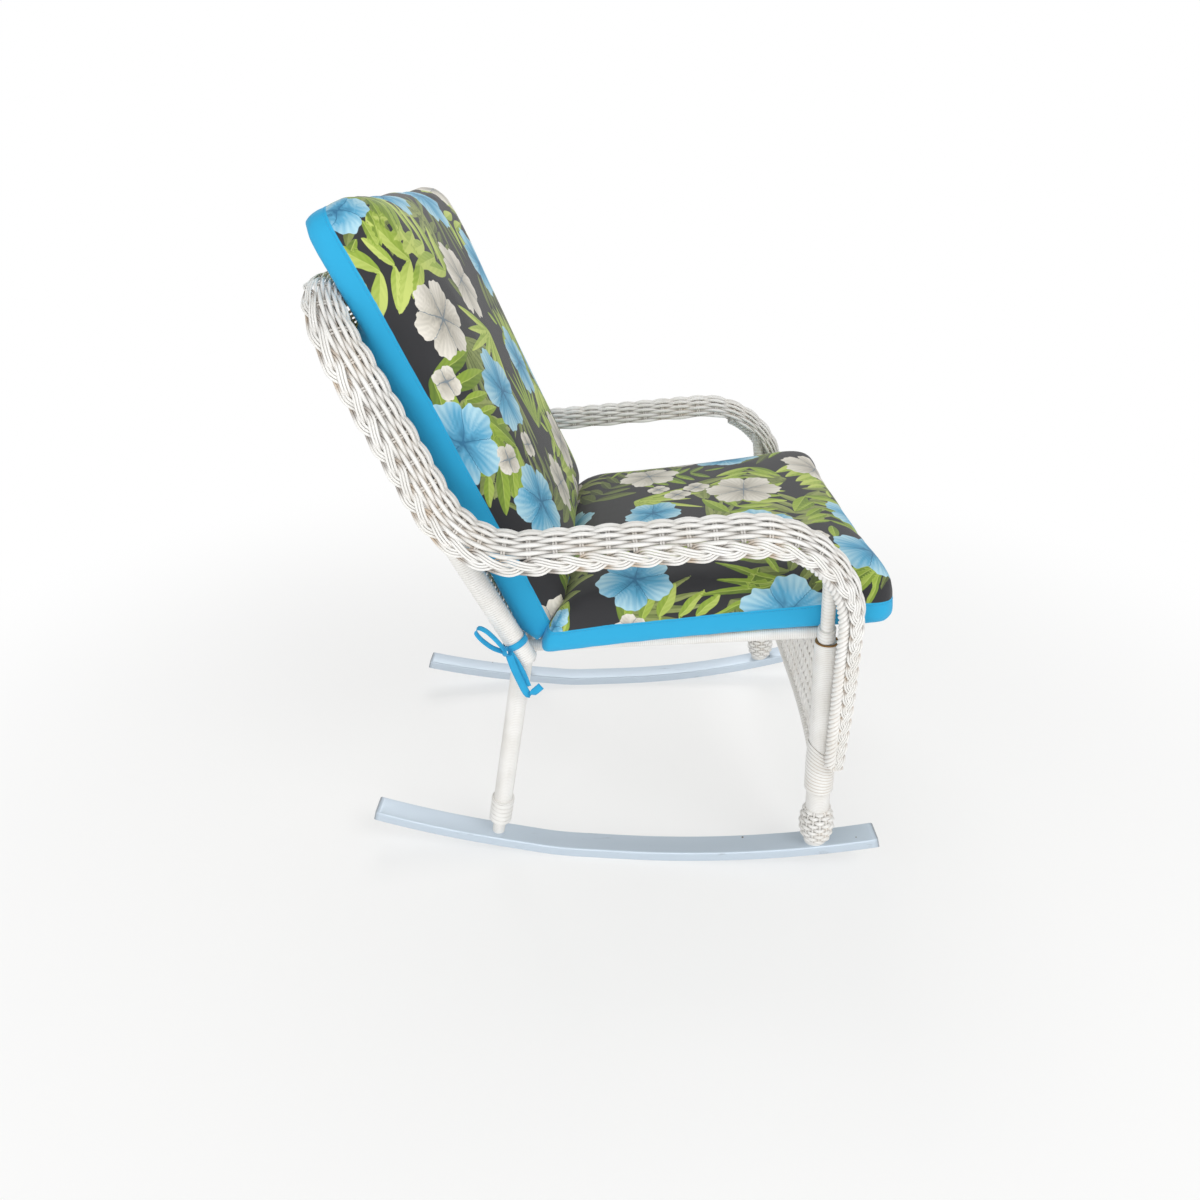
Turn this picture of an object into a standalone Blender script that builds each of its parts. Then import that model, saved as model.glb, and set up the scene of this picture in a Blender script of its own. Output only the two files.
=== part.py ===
"""Rattan rocking chair with a two-part cushion, built as separate solids.

Metres, +Z up. The chair faces -Y and its sides mirror across the YZ plane.
Places are worked out in chair terms (out from the middle, forward, up) with
"forward" counted from the middle of the rockers. At the end one empty moves
everything so that the origin lies on the floor in the middle of the chair.
"""

import math

import bmesh
import bpy
from mathutils import Matrix, Vector

GAP = 0.0003  # fit between neighbouring pieces
SIDES = {"left": 1, "right": -1}  # the sitter's left is +X

# Rockers: hollow painted rails bent to one arc, closer together at the back
ROCKER_RADIUS = 1.5
ROCKER_LENGTH = 0.793
ROCKER_WIDTH = 0.040
ROCKER_HEIGHT = 0.0175
ROCKER_WALL = 0.0016
ROCKER_REST_FRONT = 0.022  # the flat that lies on the floor, ahead of the middle
ROCKER_REST_REAR = 0.102  # and behind it, under the chair's weight
ROCKER_FRONT_FACETS = 7
ROCKER_REAR_FACETS = 4
ROCKER_OUT_REAR = 0.2354
ROCKER_OUT_FRONT = 0.2897
PLUG_DEPTH = 0.016
PLUG_LIP = 0.002
BOLT_RADIUS = 0.003
BOLT_HEAD_RADIUS = 0.0065
BOLT_HEAD_HEIGHT = 0.003
BOLT_GRIP = 0.032  # length of bolt inside the leg

# Seat: a woven deck that falls towards the back, on a frame of round rails
SEAT_FRONT_HEIGHT = 0.4181  # deck top above the front rail
SEAT_SLOPE = math.radians(7.1)
DECK_THICKNESS = 0.008
RAIL_RADIUS = 0.0125
CROSS_RAIL_RADIUS = 0.008
SIDE_RAIL_RADIUS = 0.009
SIDE_RAIL_FRONT_OUT = 0.264
SIDE_RAIL_REAR_OUT = 0.215
CROSS_RAIL_FORWARD = 0.075

# Front legs, ball feet and the thin posts that carry the arms
FRONT_LEG_RADIUS = 0.018
FRONT_LEG_FOOT_FORWARD = 0.305
FRONT_LEG_TOP_FORWARD = 0.2815
FRONT_LEG_TOP_OUT = 0.287
FRONT_LEG_BELOW_DECK = 0.0131
FOOT_HEIGHT = 0.058
FOOT_RADIUS = 0.0265
FRONT_BINDING_LOW = 0.150
FRONT_BINDING_HIGH = 0.200
BINDING_THICKNESS = 0.0035
ARM_POST_RADIUS = 0.009
ARM_POST_BINDING_HEIGHT = 0.020

# Rear legs and the hoop of the back
REAR_LEG_RADIUS = 0.0145
REAR_TENON_RADIUS = 0.010
REAR_TENON_HEIGHT = 0.026
REAR_LEG_FOOT_FORWARD = -0.199
REAR_LEG_TOP_FORWARD = -0.1445
REAR_LEG_TOP_OUT = 0.269
COLLAR_HEIGHT = 0.045
HOOP_RADIUS = 0.016
HOOP_INBOARD = 0.009  # inside the roll's path at the top
HOOP_FOOT_FORWARD = -0.138
HOOP_BEND = 0.080
HOOP_BELOW = 0.012  # top of the hoop under the roll's path
PANEL_THICKNESS = 0.005

# Rolled border: corner points of its path (out, forward, up) with bend radii
ROLL_END = (0.309, 0.311, 0.206)
ROLL_FRONT = (0.318, 0.300, 0.592)
ROLL_REAR = (0.316, -0.208, 0.545)
ROLL_TOP = (0.281, -0.370, 0.860)
ROLL_FRONT_BEND = 0.140
ROLL_REAR_BEND = 0.120
ROLL_TOP_BEND = 0.085
ROLL_RADIUS = 0.031
ROLL_THICKNESS = 0.006
ROLL_LEAN = 0.004  # the arch sits a little inboard of the path
ROLL_DROP = 0.0075  # and a little below it
ROLL_END_SCALE = 0.24
ROLL_TOP_SCALE = 0.65  # slimmer behind the cushion
ROLL_STAKES = 42  # from a leg to the middle of the back's top
ROLL_ROWS = 17  # reeds side by side across the arch
ROLL_FIRST_ROW = 0.105  # share of the half turn where the first reed lies
ROLL_ROW_STEP = 0.0555
ROLL_WAVE = 0.0028  # a reed lies this much lower where it goes under a stake
BRAID_RADIUS = 0.009
BRAID_OUT = 0.0332
CORE_RADIUS = 0.011

# Front apron between the legs
APRON_REEDS = 67  # upright reeds, an odd number
APRON_THICKNESS = 0.006  # over the reeds
APRON_GROOVE_THICKNESS = 0.0014  # between them
APRON_MIDDLE_HEIGHT = 0.212
APRON_LEG_HEIGHT = 0.166
APRON_CURVE = 3.5
APRON_EDGE_RADIUS = 0.0075

# Cushions: two pads joined along a crease
CREASE_RISE = 0.0614  # crease above the deck
BACK_PAD_FOOT_AHEAD = 0.0107  # rear face of the back pad ahead of the hoop's foot
BACK_PAD_TOP_AHEAD = 0.0203  # and ahead of the roll's path at the top
SEAT_PAD_FRONT = 0.377
SEAT_PAD_REAR_OUT = 0.272
SEAT_PAD_FRONT_OUT = 0.284
SEAT_PAD_EDGE = 0.074
SEAT_PAD_CROWN = 0.026
BACK_PAD_LENGTH = 0.628
BACK_PAD_LOW_OUT = 0.249
BACK_PAD_TOP_OUT = 0.2585
BACK_PAD_EDGE = 0.076
BACK_PAD_CROWN = 0.023
PAD_DRAW_IN = 0.010
PAD_CORNER = 0.024
PAD_CREASE_CORNER = 0.010
VALLEY_SLOPE = math.radians(34)

# Ties round the hoop's lower ends
TIE_RISE = 0.0295  # above the hoop's foot
TIE_LOOP = 0.057
TIE_TAIL = 0.091
TIE_WIDTH = 0.016
TIE_THICKNESS = 0.003
KNOT_RADIUS = 0.0095

COLOURS = {
    "white_rattan": ((0.80, 0.79, 0.75, 1), 0.6, 0),
    "rocker_paint": ((0.55, 0.60, 0.66, 1), 0.45, 0.2),
    "bolt_zinc": ((0.45, 0.45, 0.45, 1), 0.4, 1),
    "plug_grey": ((0.42, 0.45, 0.48, 1), 0.6, 0),
    "print_cotton": ((0.05, 0.06, 0.05, 1), 0.9, 0),
    "blue_cotton": ((0.02, 0.36, 0.70, 1), 0.9, 0),
}


def material(name):
    """The Principled material of one finish, made on first use."""
    if name in bpy.data.materials:
        return bpy.data.materials[name]
    made = bpy.data.materials.new(name)
    made.use_nodes = True
    shader = made.node_tree.nodes["Principled BSDF"]
    colour, roughness, metallic = COLOURS[name]
    shader.inputs["Base Color"].default_value = colour
    shader.inputs["Roughness"].default_value = roughness
    shader.inputs["Metallic"].default_value = metallic
    made.diffuse_color = colour
    return made


def at(side, out, forward, up):
    """World place of a point given in chair terms."""
    return Vector((side * out, -forward, up))


def add(name, points, faces, finish):
    """One closed mesh object with its faces turned outwards."""
    mesh = bpy.data.meshes.new(name)
    mesh.from_pydata([tuple(point) for point in points], [], faces)
    shell = bmesh.new()
    shell.from_mesh(mesh)
    bmesh.ops.recalc_face_normals(shell, faces=shell.faces)
    shell.to_mesh(mesh)
    shell.free()
    mesh.materials.append(material(finish))
    obj = bpy.data.objects.new(name, mesh)
    bpy.context.scene.collection.objects.link(obj)
    return obj


def helper(obj):
    """Hides an object that only cuts or joins another."""
    obj.hide_render = True
    obj.display_type = "WIRE"
    return obj


def combine(obj, other, operation):
    """Adds an exact Boolean with a helper object."""
    step = obj.modifiers.new(other.name, "BOOLEAN")
    step.operation = operation
    step.solver = "EXACT"
    step.object = other


def ring_walls(rings, count):
    """Quads between rings of count points that follow one another."""
    faces = []
    for row in range(rings - 1):
        for i in range(count):
            j = (i + 1) % count
            a = row * count
            faces.append((a + i, a + j, a + count + j, a + count + i))
    return faces


def skin(name, rings, finish, closed=False):
    """A solid through rings of equal length: capped, or closed on itself."""
    count = len(rings[0])
    points = [point for ring in rings for point in ring]
    faces = ring_walls(len(rings), count)
    last = (len(rings) - 1) * count
    if closed:
        faces += [(last + i, last + (i + 1) % count, (i + 1) % count, i) for i in range(count)]
    else:
        faces.append(tuple(range(count - 1, -1, -1)))
        faces.append(tuple(range(last, last + count)))
    return add(name, points, faces, finish)


def onto(point, along, plane):
    """The point slid in one direction until it lies on a plane (place, normal)."""
    place, normal = plane
    return point + along * ((place - point).dot(normal) / along.dot(normal))


def circle(radius, sides, turn=0.0):
    """Corner offsets of a regular polygon."""
    step = 2 * math.pi / sides
    return [(radius * math.cos(turn + i * step), radius * math.sin(turn + i * step)) for i in range(sides)]


def axes_of(direction, hint):
    """Two unit vectors square to a direction, the first nearest to a hint."""
    first = (hint - direction * hint.dot(direction)).normalized()
    return first, direction.cross(first)


def rod(name, start, end, profile, finish, sides=12, start_plane=None, end_plane=None):
    """A straight turned piece: profile lists (share of the length, radius)."""
    along = (end - start).normalized()
    first, second = axes_of(along, Vector((0, 0, 1)) if abs(along.z) < 0.7 else Vector((1, 0, 0)))
    rings = []
    for share, radius in profile:
        centre = start.lerp(end, share)
        rings.append([centre + first * a + second * b for a, b in circle(radius, sides)])
    if start_plane:
        rings[0] = [onto(point, along, start_plane) for point in rings[0]]
    if end_plane:
        rings[-1] = [onto(point, along, end_plane) for point in rings[-1]]
    return skin(name, rings, finish)


def sleeve(name, start, end, inner, profile, finish, sides=12):
    """A ring round a straight piece: inner radius, and (share, outer radius) along it."""
    along = (end - start).normalized()
    first, second = axes_of(along, Vector((1, 0, 0)))
    clear = (inner + GAP) / math.cos(math.pi / sides)
    loop = [(0, clear)] + profile + [(1, clear)]
    rings = []
    for share, radius in loop:
        centre = start.lerp(end, share)
        rings.append([centre + first * a + second * b for a, b in circle(radius, sides)])
    return skin(name, rings, finish, closed=True)


def rounded_path(corners, radii, degrees=12.0):
    """A path through corner points, each inner corner replaced by an arc."""
    path = [corners[0]]
    for before, corner, after, radius in zip(corners, corners[1:], corners[2:], radii):
        back = (before - corner).normalized()
        on = (after - corner).normalized()
        half = back.angle(on) / 2
        middle = corner + (back + on).normalized() * (radius / math.sin(half))
        first = corner + back * (radius / math.tan(half)) - middle
        second = corner + on * (radius / math.tan(half)) - middle
        turn = first.angle(second)
        axis = first.cross(second).normalized()
        steps = max(2, round(math.degrees(turn) / degrees))
        for i in range(steps + 1):
            path.append(middle + Matrix.Rotation(turn * i / steps, 3, axis) @ first)
    path.append(corners[-1])
    return path


def frames(path, outward):
    """(place, outward, normal) along a path, carried on without twisting."""
    made = []
    for i, point in enumerate(path):
        ahead = path[min(i + 1, len(path) - 1)] - point
        behind = point - path[max(i - 1, 0)]
        along = (ahead.normalized() + behind.normalized()).normalized()
        outward = (outward - along * outward.dot(along)).normalized()
        made.append((point, outward, outward.cross(along)))
    return made


def swept(name, stations, loops, finish):
    """A solid whose cross-section loops (outward, normal) follow frames."""
    rings = []
    for (point, outward, normal), loop in zip(stations, loops):
        rings.append([point + outward * a + normal * b for a, b in loop])
    return skin(name, rings, finish)


def grid_slab(name, rows, depths, finish):
    """A sheet with a thickness for each column: rows of middle points, moved half of it each way."""
    count = len(rows[0])
    size = len(rows) * count
    points = [point + depth / 2 for row in rows for point, depth in zip(row, depths)]
    points += [point - depth / 2 for row in rows for point, depth in zip(row, depths)]
    faces = []
    for row in range(len(rows) - 1):
        for i in range(count - 1):
            a = row * count + i
            quad = (a, a + 1, a + count + 1, a + count)
            faces.append(quad)
            faces.append(tuple(size + k for k in reversed(quad)))
    top = (len(rows) - 1) * count
    edge = list(range(count)) + [count * (row + 1) - 1 for row in range(1, len(rows))]
    edge += [top + i for i in range(count - 2, -1, -1)]
    edge += [row * count for row in range(len(rows) - 2, 0, -1)]
    for a, b in zip(edge, edge[1:] + edge[:1]):
        faces.append((a, b, size + b, size + a))
    return add(name, points, faces, finish)


# Rockers


def rocker_out(forward):
    """Distance of a rocker's middle line from the chair's middle."""
    share = 0.5 + forward / ROCKER_LENGTH
    return ROCKER_OUT_REAR + (ROCKER_OUT_FRONT - ROCKER_OUT_REAR) * share


ROCKER_END = math.asin(ROCKER_LENGTH / 2 / ROCKER_RADIUS)  # half of the arc's angle
BOX = ((0, -1), (0, 1), (1, 1), (1, -1))  # corners of a rail's section: (upper or not, hand)


def facet_slopes(rest, count):
    """Slopes of the facets from the rest flat to one end, each touching the arc."""
    first = 2 * math.atan(rest / ROCKER_RADIUS)
    step = (ROCKER_END - first) / (count - 0.5)
    return [first + step * i for i in range(count)]


REAR_SLOPES = [-slope for slope in reversed(facet_slopes(ROCKER_REST_REAR, ROCKER_REAR_FACETS))]
ROCKER_SLOPES = REAR_SLOPES + [0.0] + facet_slopes(ROCKER_REST_FRONT, ROCKER_FRONT_FACETS)


def rocker_edge(i, depth):
    """(forward, up) of the edge before facet i, a depth above the rail's underside."""
    before = ROCKER_SLOPES[i - 1] if i else -2 * ROCKER_END - ROCKER_SLOPES[0]
    after = ROCKER_SLOPES[i] if i < len(ROCKER_SLOPES) else 2 * ROCKER_END - ROCKER_SLOPES[-1]
    radius = (ROCKER_RADIUS - depth) / math.cos((after - before) / 2)
    angle = (before + after) / 2
    return radius * math.sin(angle), ROCKER_RADIUS - radius * math.cos(angle)


def rocker_seat(side, forward, reach):
    """The plane that a foot rests on: the rail's top facet, raised clear of the next ones."""
    edges = [rocker_edge(i, ROCKER_HEIGHT) for i in range(len(ROCKER_SLOPES) + 1)]
    facet = max(i for i, edge in enumerate(edges[:-1]) if edge[0] <= forward)
    slope = ROCKER_SLOPES[facet]
    up = edges[facet][1] + (forward - edges[facet][0]) * math.tan(slope)
    turns = [abs(slope - other) for other in ROCKER_SLOPES if other != slope]
    overhang = max(0.0, edges[facet][0] - forward + reach, forward + reach - edges[facet + 1][0])
    place = at(side, rocker_out(forward), forward, up + GAP + overhang * math.tan(min(turns)))
    return place, Vector((0, math.sin(slope), math.cos(slope)))


def make_rocker(word, side):
    """One rail with its two end plugs. The rail's ends stay open behind the plugs."""
    half = ROCKER_WIDTH / 2
    edges = len(ROCKER_SLOPES) + 1
    rings = []
    for depth_low, depth_high, reach in (
        (0, ROCKER_HEIGHT, half),
        (ROCKER_WALL, ROCKER_HEIGHT - ROCKER_WALL, half - ROCKER_WALL),
    ):
        for i in range(edges):
            ring = []
            for depth, sign in BOX:
                forward, up = rocker_edge(i, depth_high if depth else depth_low)
                ring.append(at(side, rocker_out(forward) + sign * reach, forward, up))
            rings.append(ring)
    rail = skin(f"rocker_rail_{word}", rings[:edges] + rings[:edges - 1:-1], "rocker_paint", closed=True)

    bore = ROCKER_WALL + GAP
    for end, sign in (("front", 1), ("rear", -1)):
        rings = []
        edge = edges - 1 if sign > 0 else 0
        slope = abs(ROCKER_SLOPES[edge - sign if sign > 0 else 0])
        for past, grow in ((-PLUG_DEPTH, -bore), (GAP, -bore), (GAP, 0), (PLUG_LIP, 0)):
            ring = []
            for depth, hand in BOX:
                forward, up = rocker_edge(edge, ROCKER_HEIGHT + grow if depth else -grow)
                forward += sign * past * math.cos(slope)
                up += past * math.sin(slope)
                ring.append(at(side, rocker_out(forward) + hand * (half + grow), forward, up))
            rings.append(ring)
        skin(f"rocker_plug_{end}_{word}", rings, "plug_grey")
    return rail


def make_bolt(name, leg, rail, foot, along, normal):
    """The bolt that holds a leg on its rail: its head is inside the rail, over an access hole."""
    tilt = along.angle(normal)
    rise = 2 * ROCKER_WALL / math.cos(tilt) + BOLT_HEAD_RADIUS * math.tan(tilt)
    head = foot - along * rise
    tip = foot + along * BOLT_GRIP
    low = head - along * BOLT_HEAD_HEIGHT
    flange = BOLT_HEAD_HEIGHT / (tip - low).length
    profile = [(0, BOLT_HEAD_RADIUS * 0.7), (flange * 0.6, BOLT_HEAD_RADIUS), (flange, BOLT_HEAD_RADIUS)]
    profile += [(flange, BOLT_RADIUS), (1, BOLT_RADIUS)]
    rod(name, low, tip, profile, "bolt_zinc", sides=8)
    below = foot - along * ROCKER_HEIGHT * 2
    narrow = (BOLT_RADIUS + GAP) / math.cos(math.pi / 8)
    wide = BOLT_HEAD_RADIUS * 1.25
    for piece, end, radius in ((leg, tip + along * GAP, narrow), (rail, tip, narrow), (rail, head, wide)):
        kind = "access" if radius == wide else piece.name
        tool = rod(f"{name}_hole_{kind}", below, end, [(0, radius), (1, radius)], "bolt_zinc", sides=8)
        combine(piece, helper(tool), "DIFFERENCE")


# Seat frame


def deck_up(forward):
    """Height of the deck's top face."""
    return SEAT_FRONT_HEIGHT + (forward - FRONT_LEG_TOP_FORWARD) * math.tan(SEAT_SLOPE)


def front_leg_up():
    """Height of a front leg's top."""
    return deck_up(FRONT_LEG_TOP_FORWARD) - FRONT_LEG_BELOW_DECK


def rail_up(forward, radius):
    """Height of the middle of a rail whose top is flush with the deck."""
    return deck_up(forward) - radius / math.cos(SEAT_SLOPE)


def side_rail_out(forward):
    """Distance of a side rail from the chair's middle. The rails close in towards the back."""
    share = (forward - REAR_LEG_TOP_FORWARD) / (FRONT_LEG_TOP_FORWARD - REAR_LEG_TOP_FORWARD)
    return SIDE_RAIL_REAR_OUT + (SIDE_RAIL_FRONT_OUT - SIDE_RAIL_REAR_OUT) * share


def make_seat_frame(legs):
    """Front and rear rails between the legs, side rails, a cross rail and the woven deck."""
    fitted = (RAIL_RADIUS + GAP) / math.cos(math.pi / 12)
    tools = []
    for end, forward in (("front", FRONT_LEG_TOP_FORWARD), ("rear", REAR_LEG_TOP_FORWARD)):
        span = [leg_at(legs[end, word], rail_up(forward, RAIL_RADIUS)) for word in SIDES]
        rail = rod(f"seat_rail_{end}", *span, [(0, RAIL_RADIUS), (1, RAIL_RADIUS)], "white_rattan")
        for word in SIDES:
            combine(rail, leg_cutter((end, word), *legs[end, word]), "DIFFERENCE")
        tool = rod(f"cutter_rail_{end}", *span, [(0, fitted), (1, fitted)], "white_rattan")
        tools.append(helper(tool))

    for word, side in SIDES.items():
        span = []
        for forward in (FRONT_LEG_TOP_FORWARD, REAR_LEG_TOP_FORWARD):
            span.append(at(side, side_rail_out(forward), forward, rail_up(forward, SIDE_RAIL_RADIUS)))
        whole = [(0, SIDE_RAIL_RADIUS), (1, SIDE_RAIL_RADIUS)]
        rail = rod(f"seat_rail_{word}", *span, whole, "white_rattan")
        for tool in tools:
            combine(rail, tool, "DIFFERENCE")

    inset = SIDE_RAIL_RADIUS + 2 * GAP
    up = deck_up(CROSS_RAIL_FORWARD) - (DECK_THICKNESS + GAP + CROSS_RAIL_RADIUS) / math.cos(SEAT_SLOPE)
    span = [at(side, side_rail_out(CROSS_RAIL_FORWARD) - inset, CROSS_RAIL_FORWARD, up) for side in (-1, 1)]
    splay = (SIDE_RAIL_FRONT_OUT - SIDE_RAIL_REAR_OUT) / (FRONT_LEG_TOP_FORWARD - REAR_LEG_TOP_FORWARD)
    planes = [(place, Vector((side, splay, 0))) for place, side in zip(span, (-1, 1))]
    whole = [(0, CROSS_RAIL_RADIUS), (1, CROSS_RAIL_RADIUS)]
    rod("seat_rail_cross", *span, whole, "white_rattan", start_plane=planes[0], end_plane=planes[1])

    tip = FRONT_LEG_TOP_FORWARD - RAIL_RADIUS - GAP
    tail = REAR_LEG_TOP_FORWARD + RAIL_RADIUS + GAP
    top = []
    for side, forward in ((-1, tip), (1, tip), (1, tail), (-1, tail)):
        top.append(at(side, side_rail_out(forward) - inset, forward, deck_up(forward)))
    low = [point - Vector((0, 0, DECK_THICKNESS / math.cos(SEAT_SLOPE))) for point in top]
    skin("seat_deck", [low, top], "white_rattan")


def leg_at(leg, up):
    """The point on a leg's middle line at a height."""
    foot, top, _ = leg
    return foot.lerp(top, (up - foot.z) / (top.z - foot.z))


def leg_cutter(key, start, end, radius):
    """A cylinder round a leg with fitting room, for coping the rails."""
    wide = (radius + GAP) / math.cos(math.pi / 12)
    above = end + (end - start) * 0.3
    return helper(rod(f"cutter_leg_{key[0]}_{key[1]}", start, above, [(0, wide), (1, wide)], "white_rattan"))


def make_legs(word, side, rail):
    """Front and rear leg of one side with their feet, bindings and bolts."""
    place, normal = rocker_seat(side, FRONT_LEG_FOOT_FORWARD, FRONT_LEG_RADIUS)
    top = at(side, FRONT_LEG_TOP_OUT, FRONT_LEG_TOP_FORWARD, front_leg_up())
    along = (top - place).normalized()
    plain = [(0, FRONT_LEG_RADIUS), (1, FRONT_LEG_RADIUS)]
    level = Vector((0, 0, 1))
    ends = {"start_plane": (place, normal), "end_plane": (top, level)}
    front = rod(f"front_leg_{word}", place, top, plain, "white_rattan", **ends)
    make_bolt(f"rocker_bolt_front_{word}", front, rail, place, along, normal)

    lift = along * (FRONT_LEG_RADIUS * abs(normal.y) * 1.6 + GAP)
    swells = ((0, 0.32), (0.2, 0.8), (0.45, 1), (0.7, 0.85), (0.9, 0.5), (1, 0.22))
    ball = [(share, FRONT_LEG_RADIUS + (FOOT_RADIUS - FRONT_LEG_RADIUS) * swell) for share, swell in swells]
    ends = place + lift, place + lift + along * FOOT_HEIGHT
    sleeve(f"ball_foot_{word}", *ends, FRONT_LEG_RADIUS, ball, "white_rattan", sides=14)
    length = top.z - place.z
    ends = [place.lerp(top, (up - place.z) / length) for up in (FRONT_BINDING_LOW, FRONT_BINDING_HIGH)]
    thick = FRONT_LEG_RADIUS + BINDING_THICKNESS
    band = [(0.04, thick), (0.96, thick)]
    sleeve(f"front_leg_binding_{word}", *ends, FRONT_LEG_RADIUS, band, "white_rattan")

    foot, normal = rocker_seat(side, REAR_LEG_FOOT_FORWARD, REAR_TENON_RADIUS)
    crown = at(side, REAR_LEG_TOP_OUT, REAR_LEG_TOP_FORWARD, deck_up(REAR_LEG_TOP_FORWARD))
    along = (crown - foot).normalized()
    shoulder = REAR_TENON_HEIGHT / (crown - foot).length
    shape = [(0, REAR_TENON_RADIUS), (shoulder, REAR_TENON_RADIUS)]
    shape += [(shoulder, REAR_LEG_RADIUS), (1, REAR_LEG_RADIUS)]
    ends = {"start_plane": (foot, normal), "end_plane": (crown, level)}
    rear = rod(f"rear_leg_{word}", foot, crown, shape, "white_rattan", **ends)
    make_bolt(f"rocker_bolt_rear_{word}", rear, rail, foot, along, normal)
    low = foot + along * (REAR_TENON_HEIGHT + 0.001)
    thick = REAR_LEG_RADIUS + BINDING_THICKNESS
    band = [(0.05, thick), (0.95, thick)]
    sleeve(f"rear_leg_collar_{word}", low, low + along * COLLAR_HEIGHT, REAR_LEG_RADIUS, band, "white_rattan")
    return (place, top, FRONT_LEG_RADIUS), (foot, crown, REAR_LEG_RADIUS)


# Rolled border, arms and back


def roll_path(side):
    """One side of the roll, from its end on the front leg to the middle of the back's top."""
    corners = [at(side, *place) for place in (ROLL_END, ROLL_FRONT, ROLL_REAR, ROLL_TOP)]
    corners.append(at(side, 0, ROLL_TOP[1], ROLL_TOP[2]))
    return rounded_path(corners, (ROLL_FRONT_BEND, ROLL_REAR_BEND, ROLL_TOP_BEND))


def measured(path):
    """Length along a path at each of its points."""
    lengths = [0.0]
    for before, after in zip(path, path[1:]):
        lengths.append(lengths[-1] + (after - before).length)
    return lengths


def roll_scales(path):
    """Size of the roll's section: it grows up the front leg and slims round the top corner."""
    lengths = measured(path)
    behind = ROLL_FRONT[1] - ROLL_FRONT_BEND
    full = next(length for point, length in zip(path, lengths) if -point.y < behind)
    corner = lengths[-2] - ROLL_TOP_BEND * math.pi / 2
    scales = []
    for length in lengths:
        grown = min(1.0, ROLL_END_SCALE + (1 - ROLL_END_SCALE) * length / full)
        turned = min(1.0, max(0.0, (length - corner) / (lengths[-2] - corner)))
        scales.append(grown - (1 - ROLL_TOP_SCALE) * turned)
    return scales


def weave_wave(stakes):
    """How far up every other reed lies after a number of stakes: -1 under a stake, 1 over the next."""
    return 1 - 2 * abs(stakes % 2 - 1)


def staked(path, scales, pitch):
    """(place, scale, wave) along the roll: the path's own points, and the stakes between them."""
    lengths = measured(path)
    made = []
    for i, length in enumerate(lengths):
        made.append((path[i], scales[i], weave_wave(length / pitch)))
        if i + 1 == len(path):
            break
        stake = math.ceil(length / pitch + 0.35)
        while stake * pitch < lengths[i + 1] - 0.35 * pitch:
            share = (stake * pitch - length) / (lengths[i + 1] - length)
            scale = scales[i] + (scales[i + 1] - scales[i]) * share
            made.append((path[i].lerp(path[i + 1], share), scale, weave_wave(stake)))
            stake += 1
    return made


def arch_loop(scale, wave):
    """Section of the woven shell: an arch open on its under side, its reeds up and down by turns."""
    arch = [(0.0, ROLL_RADIUS - ROLL_WAVE)]
    for row in range(ROLL_ROWS):
        fall = ROLL_WAVE * (1 - wave * (-1) ** row) / 2
        arch.append((ROLL_FIRST_ROW + ROLL_ROW_STEP * row, ROLL_RADIUS - fall))
    arch.append((1.0, ROLL_RADIUS - ROLL_WAVE))
    arch += [(i / 6, ROLL_RADIUS - ROLL_THICKNESS) for i in range(6, -1, -1)]
    loop = []
    for share, radius in arch:
        out = radius * math.cos(math.pi * share) - ROLL_LEAN
        up = radius * math.sin(math.pi * share) - ROLL_DROP
        loop.append((scale * out, scale * up))
    return loop


def braid_loop(scale):
    """Section of the border braid under the arch's outer edge."""
    out, down = BRAID_OUT - ROLL_LEAN, ROLL_DROP + BRAID_RADIUS
    ring = circle(BRAID_RADIUS, 6, math.pi / 6)
    return [(scale * (out + a), scale * (b - down) - GAP) for a, b in ring]


def core_loop(scale):
    """Section of the bent pole right under the arch's crown."""
    crown = scale * (ROLL_RADIUS - ROLL_THICKNESS - ROLL_DROP)
    return [(a - scale * ROLL_LEAN, crown - GAP - CORE_RADIUS + b) for a, b in circle(CORE_RADIUS, 8)]


def roll_frames(path, side):
    """Frames along one side's path. The normal points out of the arch's crown on both sides."""
    stations = frames(path, Vector((side, 0, 0)))
    return [(point, outward, normal * side) for point, outward, normal in stations]


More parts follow.
